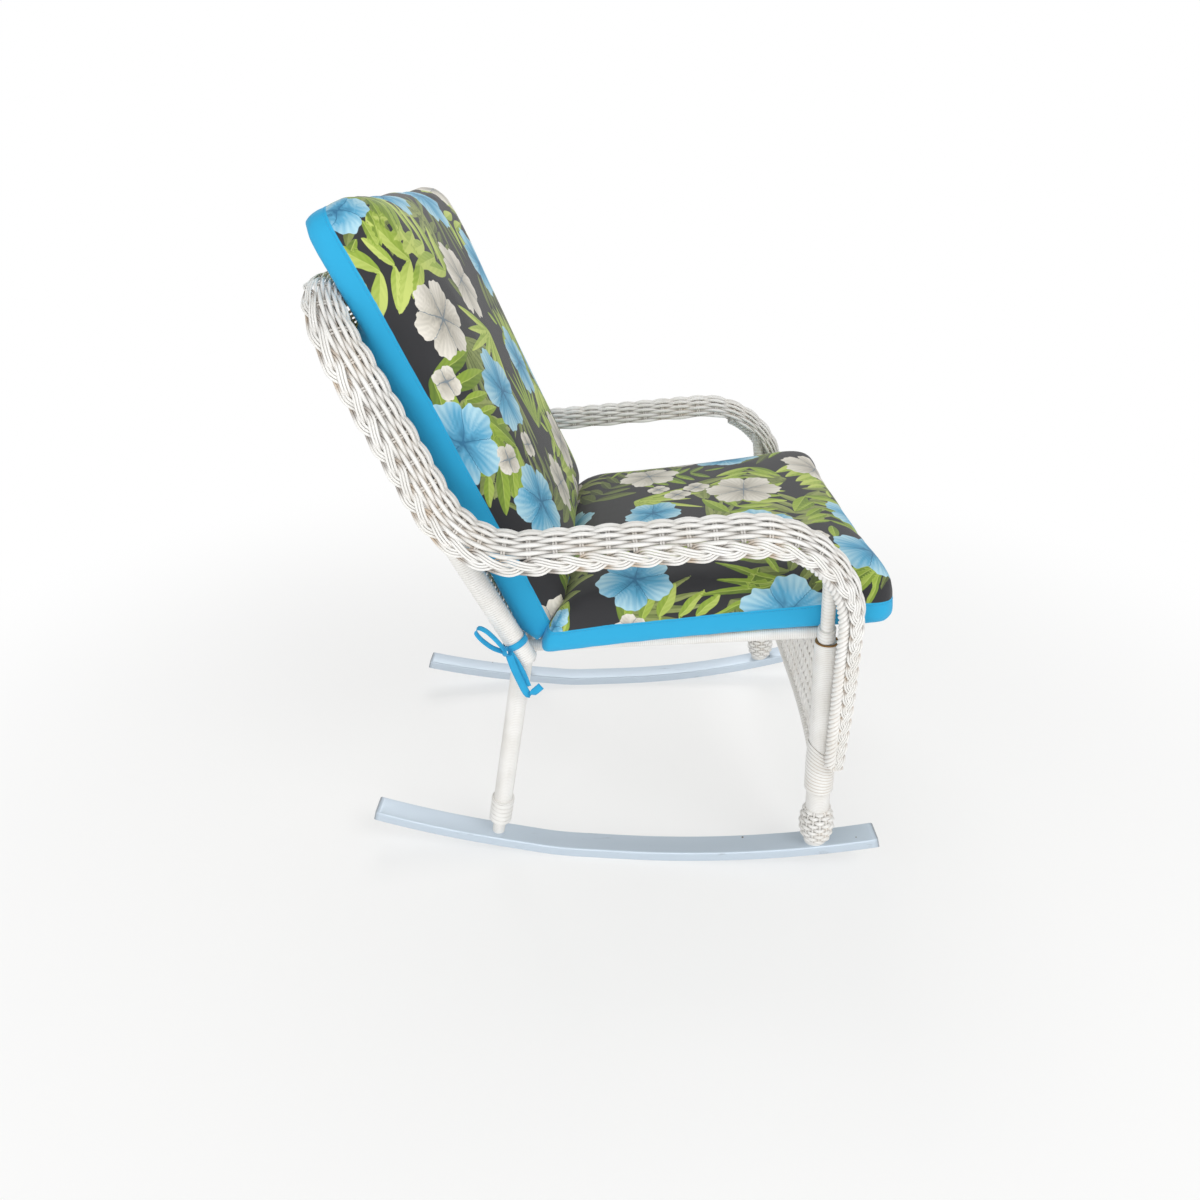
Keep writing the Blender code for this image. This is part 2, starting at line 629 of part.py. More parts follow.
def make_rolls():
    """The rolled border of arms and back: woven shells, braids and the arms' bent poles."""
    cores = {}
    for word, side in SIDES.items():
        path = roll_path(side)
        scales = roll_scales(path)
        lengths = measured(path)
        pitch = lengths[-1] / ROLL_STAKES
        weave = staked(path[:-1], scales[:-1], pitch)
        bent = roll_frames(path, side)
        woven = roll_frames([point for point, _, _ in weave] + path[-1:], side)[:-1]
        loops = [arch_loop(scale, wave) for _, scale, wave in weave]
        swept(f"side_roll_{word}", woven, loops, "white_rattan")
        loops = [braid_loop(scale) for scale in scales[:-1]]
        swept(f"side_braid_{word}", bent[:-1], loops, "white_rattan")
        room = (CORE_RADIUS + GAP) / math.cos(math.pi / 8) / (ROLL_RADIUS - ROLL_THICKNESS)
        first = next(i for i, scale in enumerate(scales) if scale > room * 1.25)
        last = max(i for i, point in enumerate(path) if abs(point.x) > ROLL_TOP[0] - 0.001)
        core = list(zip(bent, scales))[first:last]
        loops = [core_loop(scale) for _, scale in core]
        swept(f"arm_core_{word}", [frame for frame, _ in core], loops, "white_rattan")
        cores[word] = core
    point, outward, normal = bent[-2]
    half = [(abs(point.x) - GAP, weave_wave(lengths[-2] / pitch))]
    for stake in range(math.ceil(lengths[-2] / pitch + 0.35), ROLL_STAKES):
        half.append(((ROLL_STAKES - stake) * pitch, weave_wave(stake)))
    across = [(-out, wave) for out, wave in half] + [(0.0, weave_wave(ROLL_STAKES))]
    across += [(out, wave) for out, wave in reversed(half)]
    mirror = Matrix.Diagonal((-1, 1, 1))
    span = []
    for x, _ in across:
        hand = mirror if x > 0 else Matrix.Identity(3)
        span.append((Vector((x, point.y, point.z)), hand @ outward, hand @ normal))
    loops = [arch_loop(ROLL_TOP_SCALE, wave) for _, wave in across]
    swept("top_roll", span, loops, "white_rattan")
    swept("top_braid", [span[0], span[-1]], [braid_loop(ROLL_TOP_SCALE)] * 2, "white_rattan")
    return cores


def make_arm_posts(cores):
    """The thin posts from the front legs up to the arms, bound at their feet."""
    for word, side in SIDES.items():
        foot = at(side, FRONT_LEG_TOP_OUT, FRONT_LEG_TOP_FORWARD - 0.002, front_leg_up() + GAP)
        above = -FRONT_LEG_TOP_FORWARD + 0.014
        (point, outward, normal), scale = min(cores[word], key=lambda part: abs(part[0][0].y - above))
        middle = core_loop(scale)
        down = sum(b for _, b in middle) / len(middle)
        rest = point + normal * (down - CORE_RADIUS - ARM_POST_RADIUS * 0.3) - outward * ROLL_LEAN * scale
        whole = [(0, ARM_POST_RADIUS), (1, ARM_POST_RADIUS)]
        ends = {"start_plane": (foot, Vector((0, 0, 1))), "end_plane": (rest, normal)}
        rod(f"arm_post_{word}", foot, rest, whole, "white_rattan", sides=10, **ends)
        along = (rest - foot).normalized()
        low = foot + along * 0.006
        thick = ARM_POST_RADIUS + BINDING_THICKNESS
        band = [(0.1, thick), (0.9, thick)]
        high = low + along * ARM_POST_BINDING_HEIGHT
        sleeve(f"arm_post_binding_{word}", low, high, ARM_POST_RADIUS, band, "white_rattan", sides=10)


def hoop_corners():
    """Corner points of the back's bent pole, behind the roll and square to the back."""
    lean = math.atan2(ROLL_REAR[1] - ROLL_TOP[1], ROLL_TOP[2] - ROLL_REAR[2])
    behind = ROLL_DROP * ROLL_TOP_SCALE + HOOP_RADIUS + 4 * GAP
    forward = ROLL_TOP[1] - behind * math.cos(lean) + HOOP_BELOW * math.sin(lean)
    up = ROLL_TOP[2] - behind * math.sin(lean) - HOOP_BELOW * math.cos(lean)
    out = ROLL_TOP[0] - HOOP_INBOARD
    foot = (out, HOOP_FOOT_FORWARD, deck_up(REAR_LEG_TOP_FORWARD) + GAP)
    return foot, (out, forward, up)


def tie_place(side):
    """Middle of a tie's ring on the hoop, and the hoop's direction there."""
    foot, crown = hoop_corners()
    start, end = at(side, *foot), at(side, *crown)
    share = TIE_RISE / (crown[2] - foot[2])
    return start.lerp(end, share), (end - start).normalized()


def make_back():
    """The bent back hoop standing on the rear legs, and the woven panel inside it."""
    foot, crown = hoop_corners()
    corners = [at(-1, *foot), at(-1, *crown), at(1, *crown), at(1, *foot)]
    path = rounded_path(corners, (HOOP_BEND, HOOP_BEND))
    stations = frames(path, Vector((0, -1, 0)))
    rings = []
    for point, outward, normal in stations:
        rings.append([point + outward * a + normal * b for a, b in circle(HOOP_RADIUS, 12)])
    level = (at(1, 0, 0, foot[2]), Vector((0, 0, 1)))
    for ring, along in ((0, path[1] - path[0]), (-1, path[-2] - path[-1])):
        rings[ring] = [onto(point, along.normalized(), level) for point in rings[ring]]
    skin("back_hoop", rings, "white_rattan")

    rise = Vector((0, foot[1] - crown[1], crown[2] - foot[2])).normalized()
    facing = Vector((0, -rise.z, rise.y))
    length = (corners[1] - corners[0]).length - HOOP_RADIUS - GAP
    half = foot[0] - HOOP_RADIUS - GAP
    bend = HOOP_BEND - HOOP_RADIUS - GAP
    rows = []
    shares = [i / 4 for i in range(5)] + [1 + i / 6 for i in range(1, 6)] + [1.95]
    low = RAIL_RADIUS * 1.4
    for share in shares:
        if share <= 1:
            climb = low + (length - bend - low) * share
            reach = half
        else:
            angle = (share - 1) * math.pi / 2
            climb = length - bend + bend * math.sin(angle)
            reach = half - bend + bend * math.cos(angle)
        middle = at(1, 0, foot[1], foot[2]) + rise * climb
        rows.append([middle + Vector((reach * side, 0, 0)) for side in (-1, -0.33, 0.33, 1)])
    panel = grid_slab("back_panel", rows, [facing * PANEL_THICKNESS] * 4, "white_rattan")
    for word, side in SIDES.items():
        middle, along = tie_place(side)
        wide = (HOOP_RADIUS + TIE_THICKNESS + 4 * GAP) / math.cos(math.pi / 12)
        ends = [middle + along * (TIE_WIDTH / 2 + 4 * GAP) * sign for sign in (-1, 1)]
        notch = rod(f"cutter_tie_{word}", *ends, [(0, wide), (1, wide)], "white_rattan")
        combine(panel, helper(notch), "DIFFERENCE")


def make_apron(legs):
    """The woven skirt between the front legs, with a wrapped pole along its lower edge."""
    post = legs["front", "left"]

    def edge_up(share):
        fall = APRON_MIDDLE_HEIGHT - APRON_LEG_HEIGHT
        return APRON_MIDDLE_HEIGHT - fall * abs(share) ** APRON_CURVE

    shares = [-1, -0.88, -0.75, -0.6, -0.4, 0, 0.4, 0.6, 0.75, 0.88, 1]
    wide = (FRONT_LEG_RADIUS + BINDING_THICKNESS) / math.cos(math.pi / 12) + 2 * GAP
    path = []
    for share in shares:
        up = edge_up(share)
        leg = leg_at(post, up)
        path.append(Vector(((leg.x - wide - APRON_EDGE_RADIUS * 0.25) * share, leg.y, up)))
    stations = [(point, Vector((0, -1, 0)), Vector((0, 0, 1))) for point in path]
    swept("apron_edge", stations, [circle(APRON_EDGE_RADIUS, 8)] * len(path), "white_rattan")
    high = rail_up(FRONT_LEG_TOP_FORWARD, RAIL_RADIUS) - RAIL_RADIUS - 2 * GAP
    reach = leg_at(post, high).x - wide - GAP
    columns = [(-1.0, APRON_GROOVE_THICKNESS)]
    for reed in range(APRON_REEDS):
        for edge, thick in ((0.2, APRON_THICKNESS), (0.8, APRON_THICKNESS), (1, APRON_GROOVE_THICKNESS)):
            columns.append((2 * (reed + edge) / APRON_REEDS - 1, thick))
    rows = [[], []]
    for share, _ in columns:
        i = min(sum(share >= start for start in shares), len(shares) - 1) - 1
        part = (share - shares[i]) / (shares[i + 1] - shares[i])
        rows[0].append(path[i].lerp(path[i + 1], part) + Vector((0, 0, APRON_EDGE_RADIUS + GAP)))
        rows[1].append(Vector((reach * share, leg_at(post, high).y, high)))
    depths = [Vector((0, thick, 0)) for _, thick in columns]
    grid_slab("apron_weave", rows, depths, "white_rattan")


# Cushions


def pad_outline(reach, low_out, high_out, inset, start, corners):
    """Plan of one pad at one level: (across, along) points, drawn in between its corners."""
    end = reach - inset
    points = []
    slope = (high_out - low_out) / reach
    for along_end, sign, first in ((start, 1, -90), (end, 1, 0), (end, -1, 90), (start, -1, 180)):
        corner = corners[0] if along_end == start else corners[1]
        across = sign * (low_out + slope * along_end - inset)
        middle_across = across - sign * corner
        middle_along = along_end + (corner if along_end == start else -corner)
        for i in range(4):
            angle = math.radians(first + 30 * i)
            turn = corner * math.cos(angle), corner * math.sin(angle)
            points.append((middle_across + turn[0], middle_along + turn[1]))
        if first == -90 or first == 90:
            other = end if along_end == start else start
            for share in (0.2, 0.4, 0.6, 0.8):
                along = along_end + (other - along_end) * share
                pull = PAD_DRAW_IN * math.sin(math.pi * share)
                points.append((sign * (low_out + slope * along - inset - pull), along))
        else:
            along = along_end - PAD_DRAW_IN * 0.6 * (1 if along_end == end else 0)
            for share in (0.25, 0.5, 0.75):
                points.append((across * (1 - 2 * share), along))
    return points


def make_pad(name, root, along, up, reach, outs, edge, crown, crease):
    """A boxed pad: flat under side, upright band, domed top and one bevelled end at the crease."""
    bevel = crease[0] / crease[1]
    whole = edge + crown
    levels = [(0, 0.014), (0.004, 0.004), (0.012, 0), (0.030, -0.001), (edge * 0.75, 0.001)]
    levels += [(edge, 0.012), (edge + crown * 0.35, 0.030), (edge + crown * 0.65, 0.062)]
    levels += [(edge + crown * 0.88, 0.110), (whole, 0.190)]
    across = Vector((1, 0, 0))
    rings = []
    for height, inset in levels:
        start = min(height, crease[1]) * bevel + max(0.0, inset if height < 0.012 else 0.0)
        if height > crease[1]:
            start = crease[0] + max((height - crease[1]) / math.tan(VALLEY_SLOPE), inset - crease[1] * 0.2)
        corner = PAD_CORNER + max(0.0, inset) * 0.15
        near = PAD_CREASE_CORNER if height <= crease[1] else corner
        ring = pad_outline(reach, *outs, inset, start + GAP, (near, corner))
        rings.append([root + across * a + along * b + up * height for a, b in ring])
    return skin(name, rings, "print_cotton")


def make_cushions():
    """Seat pad on the deck and back pad leaning on the hoop, hinged along their crease."""
    level = Vector((0, -math.cos(SEAT_SLOPE), math.sin(SEAT_SLOPE)))
    raised = Vector((0, level.z, -level.y))
    forward = HOOP_FOOT_FORWARD + BACK_PAD_FOOT_AHEAD
    root = at(1, 0, forward, deck_up(forward)) + raised * GAP
    lean = (at(1, 0, ROLL_TOP[1] + BACK_PAD_TOP_AHEAD, ROLL_TOP[2]) - root).normalized()
    facing = Vector((0, -lean.z, lean.y))
    reach_back = CREASE_RISE / math.tan(level.angle(lean) / 2)
    crease = root + raised * CREASE_RISE + level * reach_back

    length = (at(1, 0, SEAT_PAD_FRONT, 0) - root).dot(Vector((0, -1, 0))) / math.cos(SEAT_SLOPE)
    outs = (SEAT_PAD_REAR_OUT, SEAT_PAD_FRONT_OUT)
    end = (reach_back, CREASE_RISE)
    make_pad("seat_cushion", root, level, raised, length, outs, SEAT_PAD_EDGE, SEAT_PAD_CROWN, end)

    offset = crease - root
    outs = (BACK_PAD_LOW_OUT, BACK_PAD_TOP_OUT)
    end = (offset.dot(lean) + 2 * GAP, offset.dot(facing))
    sizes = (BACK_PAD_LENGTH, outs, BACK_PAD_EDGE, BACK_PAD_CROWN, end)
    back = make_pad("back_cushion", -offset, lean, facing, *sizes)
    back.location = crease


def ribbon(name, path, width, depth):
    """A flat strip along a path with softly thinned edges."""
    section = [(1, 0.6), (0.5, 1), (-0.5, 1), (-1, 0.6)]
    section += [(-a, -b) for a, b in section]
    rings = []
    for i, point in enumerate(path):
        ahead = path[min(i + 1, len(path) - 1)] - path[max(i - 1, 0)]
        flat, deep = axes_of(ahead.normalized(), Vector((0, 1, 0.3)))
        rings.append([point + flat * width / 2 * a + deep * depth / 2 * b for a, b in section])
    return skin(name, rings, "blue_cotton")


def make_ties():
    """A ribbon round each end of the hoop: ring, knot, one loop and one tail in one piece."""
    loop = ((0, 0, 0), (0.07, 0.35, 0.39), (0.04, 0.63, 0.77))
    tail = ((0, 0, 0), (0.05, -0.11, -0.37), (0.02, -0.26, -0.68), (0.04, -0.37, -0.92))
    knob = [(0, 0.4), (0.2, 0.85), (0.55, 1), (0.85, 0.8), (1, 0.4)]
    for word, side in SIDES.items():
        middle, along = tie_place(side)
        thick = HOOP_RADIUS + TIE_THICKNESS
        ends = [middle + along * TIE_WIDTH / 2 * sign for sign in (-1, 1)]
        band = [(0, thick), (1, thick)]
        tie = sleeve(f"cushion_tie_{word}", *ends, HOOP_RADIUS, band, "blue_cotton")
        away, _ = axes_of(along, Vector((side * 0.85, 0.52, 0)))
        knot = middle + away * (thick + KNOT_RADIUS * 0.8)
        profile = [(share, KNOT_RADIUS * size) for share, size in knob]
        ends = [knot + along * KNOT_RADIUS * 1.1 * sign for sign in (-1, 1)]
        blob = rod(f"tie_knot_{word}", *ends, profile, "blue_cotton", sides=8)
        combine(tie, helper(blob), "UNION")
        for kind, places, length, width, depth in (
            ("loop", loop, TIE_LOOP, TIE_WIDTH * 1.12, TIE_THICKNESS * 2.7),
            ("tail", tail, TIE_TAIL, TIE_WIDTH, TIE_THICKNESS),
        ):
            path = [knot + Vector((side * a, b, c)) * length for a, b, c in places]
            combine(tie, helper(ribbon(f"tie_{kind}_{word}", path, width, depth)), "UNION")


def settle():
    """Moves the chair so that the origin is under the middle of its box."""
    bpy.context.view_layer.update()
    graph = bpy.context.evaluated_depsgraph_get()
    low, high = [], []
    pieces = [obj for obj in bpy.context.scene.collection.objects if not obj.parent]
    for obj in pieces:
        if obj.hide_render:
            continue
        corners = [obj.matrix_world @ Vector(corner) for corner in obj.evaluated_get(graph).bound_box]
        low.append(min(corner.y for corner in corners))
        high.append(max(corner.y for corner in corners))
    chair = bpy.data.objects.new("chair", None)
    bpy.context.scene.collection.objects.link(chair)
    for obj in pieces:
        obj.parent = chair
    chair.location.y = -(min(low) + max(high)) / 2
    bpy.context.view_layer.update()


def main():
    """Clears the scene and builds every piece."""
    for obj in list(bpy.data.objects):
        bpy.data.objects.remove(obj)
    legs = {}
    for word, side in SIDES.items():
        rail = make_rocker(word, side)
        legs["front", word], legs["rear", word] = make_legs(word, side, rail)
    make_seat_frame(legs)
    make_apron(legs)
    cores = make_rolls()
    make_arm_posts(cores)
    make_back()
    make_cushions()
    make_ties()
    settle()


main()
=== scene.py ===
"""Looks of the rattan rocking chair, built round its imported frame.

Every woven or wrapped piece is made of the strands that the real one is made of,
and the pads are blown up from their solids. Metres, +Z up. The chair faces -Y and
the sitter's left is +X.
"""

import logging
import math
from dataclasses import dataclass, field
from enum import Enum
from functools import cache, partial

import bmesh
import bpy
import numpy as np
from bpy.types import Material, Mesh, Node, NodeSocket, NodeTree, Object
from mathutils import Matrix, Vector
from numpy import ndarray


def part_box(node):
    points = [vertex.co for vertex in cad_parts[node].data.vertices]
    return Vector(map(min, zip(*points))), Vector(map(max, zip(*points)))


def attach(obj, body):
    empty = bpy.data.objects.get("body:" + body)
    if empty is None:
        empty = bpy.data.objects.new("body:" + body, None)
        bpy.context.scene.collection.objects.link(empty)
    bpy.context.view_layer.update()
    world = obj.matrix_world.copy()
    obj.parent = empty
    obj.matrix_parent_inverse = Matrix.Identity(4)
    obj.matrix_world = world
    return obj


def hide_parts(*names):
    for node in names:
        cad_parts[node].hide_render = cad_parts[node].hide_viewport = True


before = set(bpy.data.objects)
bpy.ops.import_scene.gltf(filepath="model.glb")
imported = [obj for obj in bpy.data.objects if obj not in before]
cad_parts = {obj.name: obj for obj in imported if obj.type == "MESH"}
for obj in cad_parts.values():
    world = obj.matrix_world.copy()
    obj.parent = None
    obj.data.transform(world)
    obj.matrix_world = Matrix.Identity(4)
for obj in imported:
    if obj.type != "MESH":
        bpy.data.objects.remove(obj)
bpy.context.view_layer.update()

LOG = logging.getLogger("rocking_chair")
SHIFT = -0.0008  # the frame's origin against the middle of the rockers
GAP = 0.0003  # clearance between pieces that touch
RIGHT, REAR, UP = np.eye(3)
MIRROR = np.array((-1.0, 1.0, 1.0))
SIDES = {"left": 1, "right": -1}
MATH, RANGE, MIX, NOISE = "ShaderNodeMath", "ShaderNodeMapRange", "ShaderNodeMix", "ShaderNodeTexNoise"
COLOUR = {"out": 2, "data_type": "RGBA"}
POINT = {"data_type": "FLOAT", "domain": "POINT"}


class Body(Enum):
    """The two bodies that pieces move with."""

    CHAIR = "chair"
    BACK_PAD = "back_pad"


class Slot(Enum):
    """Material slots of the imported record."""

    RATTAN = "white_rattan"
    ROCKER = "rocker_paint"
    PLUG = "plug_grey"
    BOLT = "bolt_zinc"
    PRINT = "print_cotton"
    PLAIN = "blue_cotton"


# Points and paths


def unit(vector: ndarray) -> ndarray:
    """The vector at length one, or each row of an array of them."""
    return vector / np.linalg.norm(vector, axis=-1, keepdims=True)


def place(side: float, out: float, forward: float, up: float) -> ndarray:
    """World place of a point given as out from the middle, forward and up."""
    return np.array((side * out, SHIFT - forward, up))


def at_height(start: ndarray, end: ndarray, up: float) -> ndarray:
    """The point of a straight line at one height."""
    return start + (end - start) * (up - start[2]) / (end[2] - start[2])


def circle(count: int, first: ndarray, second: ndarray) -> ndarray:
    """Points of a circle of radius one in the plane of two directions."""
    angles = np.linspace(0, 2 * math.pi, count, endpoint=False)
    return np.outer(np.cos(angles), first) + np.outer(np.sin(angles), second)


def arch(bend: float, past: ndarray) -> ndarray:
    """Height of a quarter circle of radius bend at lengths past its start."""
    return np.sqrt(np.maximum(0.0, bend ** 2 - np.maximum(0.0, past) ** 2))


def rounded(corners: list[ndarray], radii: list[float]) -> ndarray:
    """A path through corner points, each inner corner replaced by an arc.

    Args:
        corners: The corner points in order.
        radii: Bend radius of each inner corner.

    Returns:
        Points of the path.
    """
    path = [corners[0]]
    for before, corner, after, radius in zip(corners, corners[1:], corners[2:], radii):
        back, on = unit(before - corner), unit(after - corner)
        half = math.acos(np.clip(back @ on, -1, 1)) / 2
        middle = corner + unit(back + on) * (radius / math.sin(half))
        first, second = (corner + leg * (radius / math.tan(half)) - middle for leg in (back, on))
        turn = math.pi - 2 * half
        steps = max(3, round(math.degrees(turn) / 3))
        for angle in np.linspace(0, turn, steps + 1):
            path.append(middle + (first * math.sin(turn - angle) + second * math.sin(angle)) / math.sin(turn))
    return np.array([*path, corners[-1]])


def even(path: ndarray, gap: float) -> ndarray:
    """The path with points at an even distance near gap."""
    lengths = np.concatenate(([0], np.cumsum(np.linalg.norm(np.diff(path, axis=0), axis=1))))
    spots = np.linspace(0, lengths[-1], max(2, round(lengths[-1] / gap) + 1))
    return between(spots, lengths, path)


def between(spots: ndarray, known: ndarray, rows: ndarray) -> ndarray:
    """Vectors at spots, read between the rows of known ones."""
    return np.stack([np.interp(spots, known, rows[:, k]) for k in range(3)], axis=-1)


def carried(path: ndarray, outward: ndarray) -> tuple[ndarray, ndarray]:
    """Outward and normal directions carried along a path without twisting.

    Args:
        path: Points of the path.
        outward: The direction to start from.

    Returns:
        Arrays of outward and normal unit vectors.
    """
    alongs = unit(np.gradient(path, axis=0))
    outwards = []
    for along in alongs:
        outward = unit(outward - along * (outward @ along))
        outwards.append(outward)
    return np.array(outwards), np.cross(outwards, alongs)


# Meshes and objects


def read(items: bpy.types.bpy_prop_collection, key: str, width: int = 3) -> ndarray:
    """One property of a mesh's points or of an attribute's values, in rows where it is wider than one."""
    values = np.empty(len(items) * width)
    items.foreach_get(key, values)
    return values.reshape(-1, width) if width > 1 else values


def store(mesh: Mesh, key: str, values: ndarray) -> None:
    """Stores numbers or vectors on a mesh's points under a name."""
    kind, slot = ("FLOAT_VECTOR", "vector") if values.ndim == 2 else ("FLOAT", "value")
    mesh.attributes.new(key, kind, "POINT").data.foreach_set(slot, values.astype(np.float32).ravel())


def move_to(obj: Object, points: ndarray) -> None:
    """Puts an object's points in new places."""
    obj.data.vertices.foreach_set("co", points.ravel())
    obj.data.update()


def link(name: str, data: bpy.types.ID) -> Object:
    """A new object for a mesh, lamp or camera, in the scene."""
    obj = bpy.data.objects.new(name, data)
    bpy.context.scene.collection.objects.link(obj)
    return obj


def shaped(obj: Object) -> Mesh:
    """An object's mesh as its modifiers leave it. The modifiers go."""
    graph = bpy.context.evaluated_depsgraph_get()
    made = bpy.data.meshes.new_from_object(obj.evaluated_get(graph))
    obj.modifiers.clear()
    return made


def renew(obj: Object) -> None:
    """Gives an object the mesh that its modifiers make of it."""
    old, obj.data = obj.data, shaped(obj)
    bpy.data.meshes.remove(old)
    obj.data.name = obj.name


def baked(obj: Object, kind: str, **settings: object) -> None:
    """Applies one modifier to an object's mesh.

    Args:
        obj: The object.
        kind: The modifier's type.
        settings: The modifier's own properties.
    """
    step = obj.modifiers.new(kind.lower(), kind)
    for key, value in settings.items():
        setattr(step, key, value)
    renew(obj)


def solid(name: str, rings: ndarray, finish: Material | None, closed: bool = False) -> Object:
    """A smooth closed mesh through rings of equal length.

    Args:
        name: Name of the piece.
        rings: Array of rings, points and coordinates.
        finish: Its material.
        closed: Joins the last ring to the first instead of capping both.

    Returns:
        The new object.
    """
    rows, count = rings.shape[:2]
    faces = []
    for row in range(rows if closed else rows - 1):
        a, b = row * count, (row + 1) % rows * count
        faces += [(a + i, a + (i + 1) % count, b + (i + 1) % count, b + i) for i in range(count)]
    if not closed:
        faces += [tuple(range(count - 1, -1, -1)), tuple(range((rows - 1) * count, rows * count))]
    mesh = bpy.data.meshes.new(name)
    mesh.from_pydata(rings.reshape(-1, 3).tolist(), [], faces)
    shell = bmesh.new()
    shell.from_mesh(mesh)
    bmesh.ops.recalc_face_normals(shell, faces=shell.faces)
    for face in shell.faces:
        face.smooth = len(face.verts) == 4
    shell.to_mesh(mesh)
    shell.free()
    mesh.materials.append(finish)
    return link(name, mesh)


def node_points(node: str) -> ndarray:
    """Corner points of a frame node at rest."""
    return read(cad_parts[node].data.vertices, "co")


def pole_of(node: str) -> tuple[ndarray, ndarray, float]:
    """Ends and radius of a straight round node, lower or left end first.

    Args:
        node: The node.

    Returns:
        Its two ends and its radius.
    """
    points = np.unique(node_points(node).round(6), axis=0)
    middle = (points.min(axis=0) + points.max(axis=0)) / 2
    along = np.linalg.svd(points - points.mean(axis=0))[2][0]
    if along @ np.array((0.3, 0.2, 1.0)) < 0:
        along = -along
    run = (points - middle) @ along
    across = points - middle - np.outer(run, along)
    middle = middle + (across.max(axis=0) + across.min(axis=0)) / 2
    across = points - middle - np.outer((points - middle) @ along, along)
    return middle + along * run.min(), middle + along * run.max(), float(np.linalg.norm(across, axis=1).max())


def dressed(obj: Object, slot: Slot, *nodes: str, body: Body = Body.CHAIR) -> Object:
    """Puts a finished piece on its body and in place of its nodes.

    Args:
        obj: The piece.
        slot: Its material slot, not used.
        nodes: The nodes that it stands for, none for a detail.
        body: The body that it moves with.

    Returns:
        The piece.
    """
    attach(obj, body.value)
    if nodes:
        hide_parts(*nodes)
    LOG.info("%s: %d faces, for %s", obj.name, len(obj.data.polygons), ", ".join(nodes) or "detail")
    return obj


# Node trees that give strands, wrapped poles and stitches their shape


def linear(code: str) -> tuple[float, ...]:
    """Linear RGBA of an sRGB hex colour such as "#e6e4de"."""
    parts = [int(code[i:i + 2], 16) / 255 for i in (1, 3, 5)]
    return (*(c / 12.92 if c <= 0.04045 else ((c + 0.055) / 1.055) ** 2.4 for c in parts), 1.0)


def feed(tree: NodeTree, node: Node, inputs: dict) -> None:
    """Gives a node's inputs, by name or number, their values or links.

    Args:
        tree: The node's tree.
        node: The node.
        inputs: Values or output sockets.
    """
    for key, value in inputs.items():
        if isinstance(value, NodeSocket):
            tree.links.new(value, node.inputs[key])
        else:
            node.inputs[key].default_value = value


def add_node(tree: NodeTree, kind: str, inputs: dict | None = None, out: int | str = 0,
             **settings: object) -> NodeSocket | None:
    """Adds one node with its settings and links.

    Args:
        tree: The tree that gets the node.
        kind: The node's type.
        inputs: Values or output sockets by input name or number.
        out: Name or number of the output to give back.
        settings: The node's own properties.

    Returns:
        That output, or None for a node without outputs.
    """
    made = tree.nodes.new(kind)
    for key, value in settings.items():
        setattr(made, key, value)
    feed(tree, made, inputs or {})
    return made.outputs[out] if made.outputs else None


def open_tree(name: str, sizes: dict[str, str]) -> tuple[NodeTree, bpy.types.bpy_prop_collection]:
    """A new tree with its named inputs, and the sockets that give them.

    Args:
        name: Its name.
        sizes: Socket type of each input by name.

    Returns:
        The tree and the sockets.
    """
    tree = bpy.data.node_groups.new(name, "GeometryNodeTree")
    for key, kind in {"Geometry": "Geometry", **sizes, "Material": "Material"}.items():
        tree.interface.new_socket(key, in_out="INPUT", socket_type=f"NodeSocket{kind}")
    tree.interface.new_socket("Geometry", in_out="OUTPUT", socket_type="NodeSocketGeometry")
    return tree, tree.nodes.new("NodeGroupInput").outputs


def close_tree(tree: NodeTree, sizes: bpy.types.bpy_prop_collection, made: NodeSocket) -> NodeTree:
    """Ends a tree: smooth, finish, real geometry.

    Args:
        tree: The tree.
        sizes: The sockets of its inputs.
        made: What it has made so far.

    Returns:
        The tree.
    """
    made = add_node(tree, "GeometryNodeSetShadeSmooth", {"Geometry": made})
    made = add_node(tree, "GeometryNodeSetMaterial", {"Geometry": made, "Material": sizes["Material"]})
    made = add_node(tree, "GeometryNodeRealizeInstances", {"Geometry": made})
    add_node(tree, "NodeGroupOutput", {"Geometry": made})
    return tree


def swept(tree: NodeTree, rail: NodeSocket, profile: NodeSocket) -> NodeSocket:
    """A capped tube along a rail. The point attribute "half" is its radius."""
    half = add_node(tree, "GeometryNodeInputNamedAttribute", {"Name": "half"}, data_type="FLOAT")
    return add_node(tree, "GeometryNodeCurveToMesh", {
        "Curve": rail, "Profile Curve": profile, "Scale": half, "Fill Caps": True})


@cache
def strand_tree() -> NodeTree:
    """Lines to round strands."""
    tree, sizes = open_tree("round strand", {"Sides": "Int"})
    curve = add_node(tree, "GeometryNodeMeshToCurve", {"Mesh": sizes["Geometry"]})
    ring = add_node(tree, "GeometryNodeCurvePrimitiveCircle", {"Resolution": sizes["Sides"], "Radius": 1.0})
    return close_tree(tree, sizes, swept(tree, curve, ring))


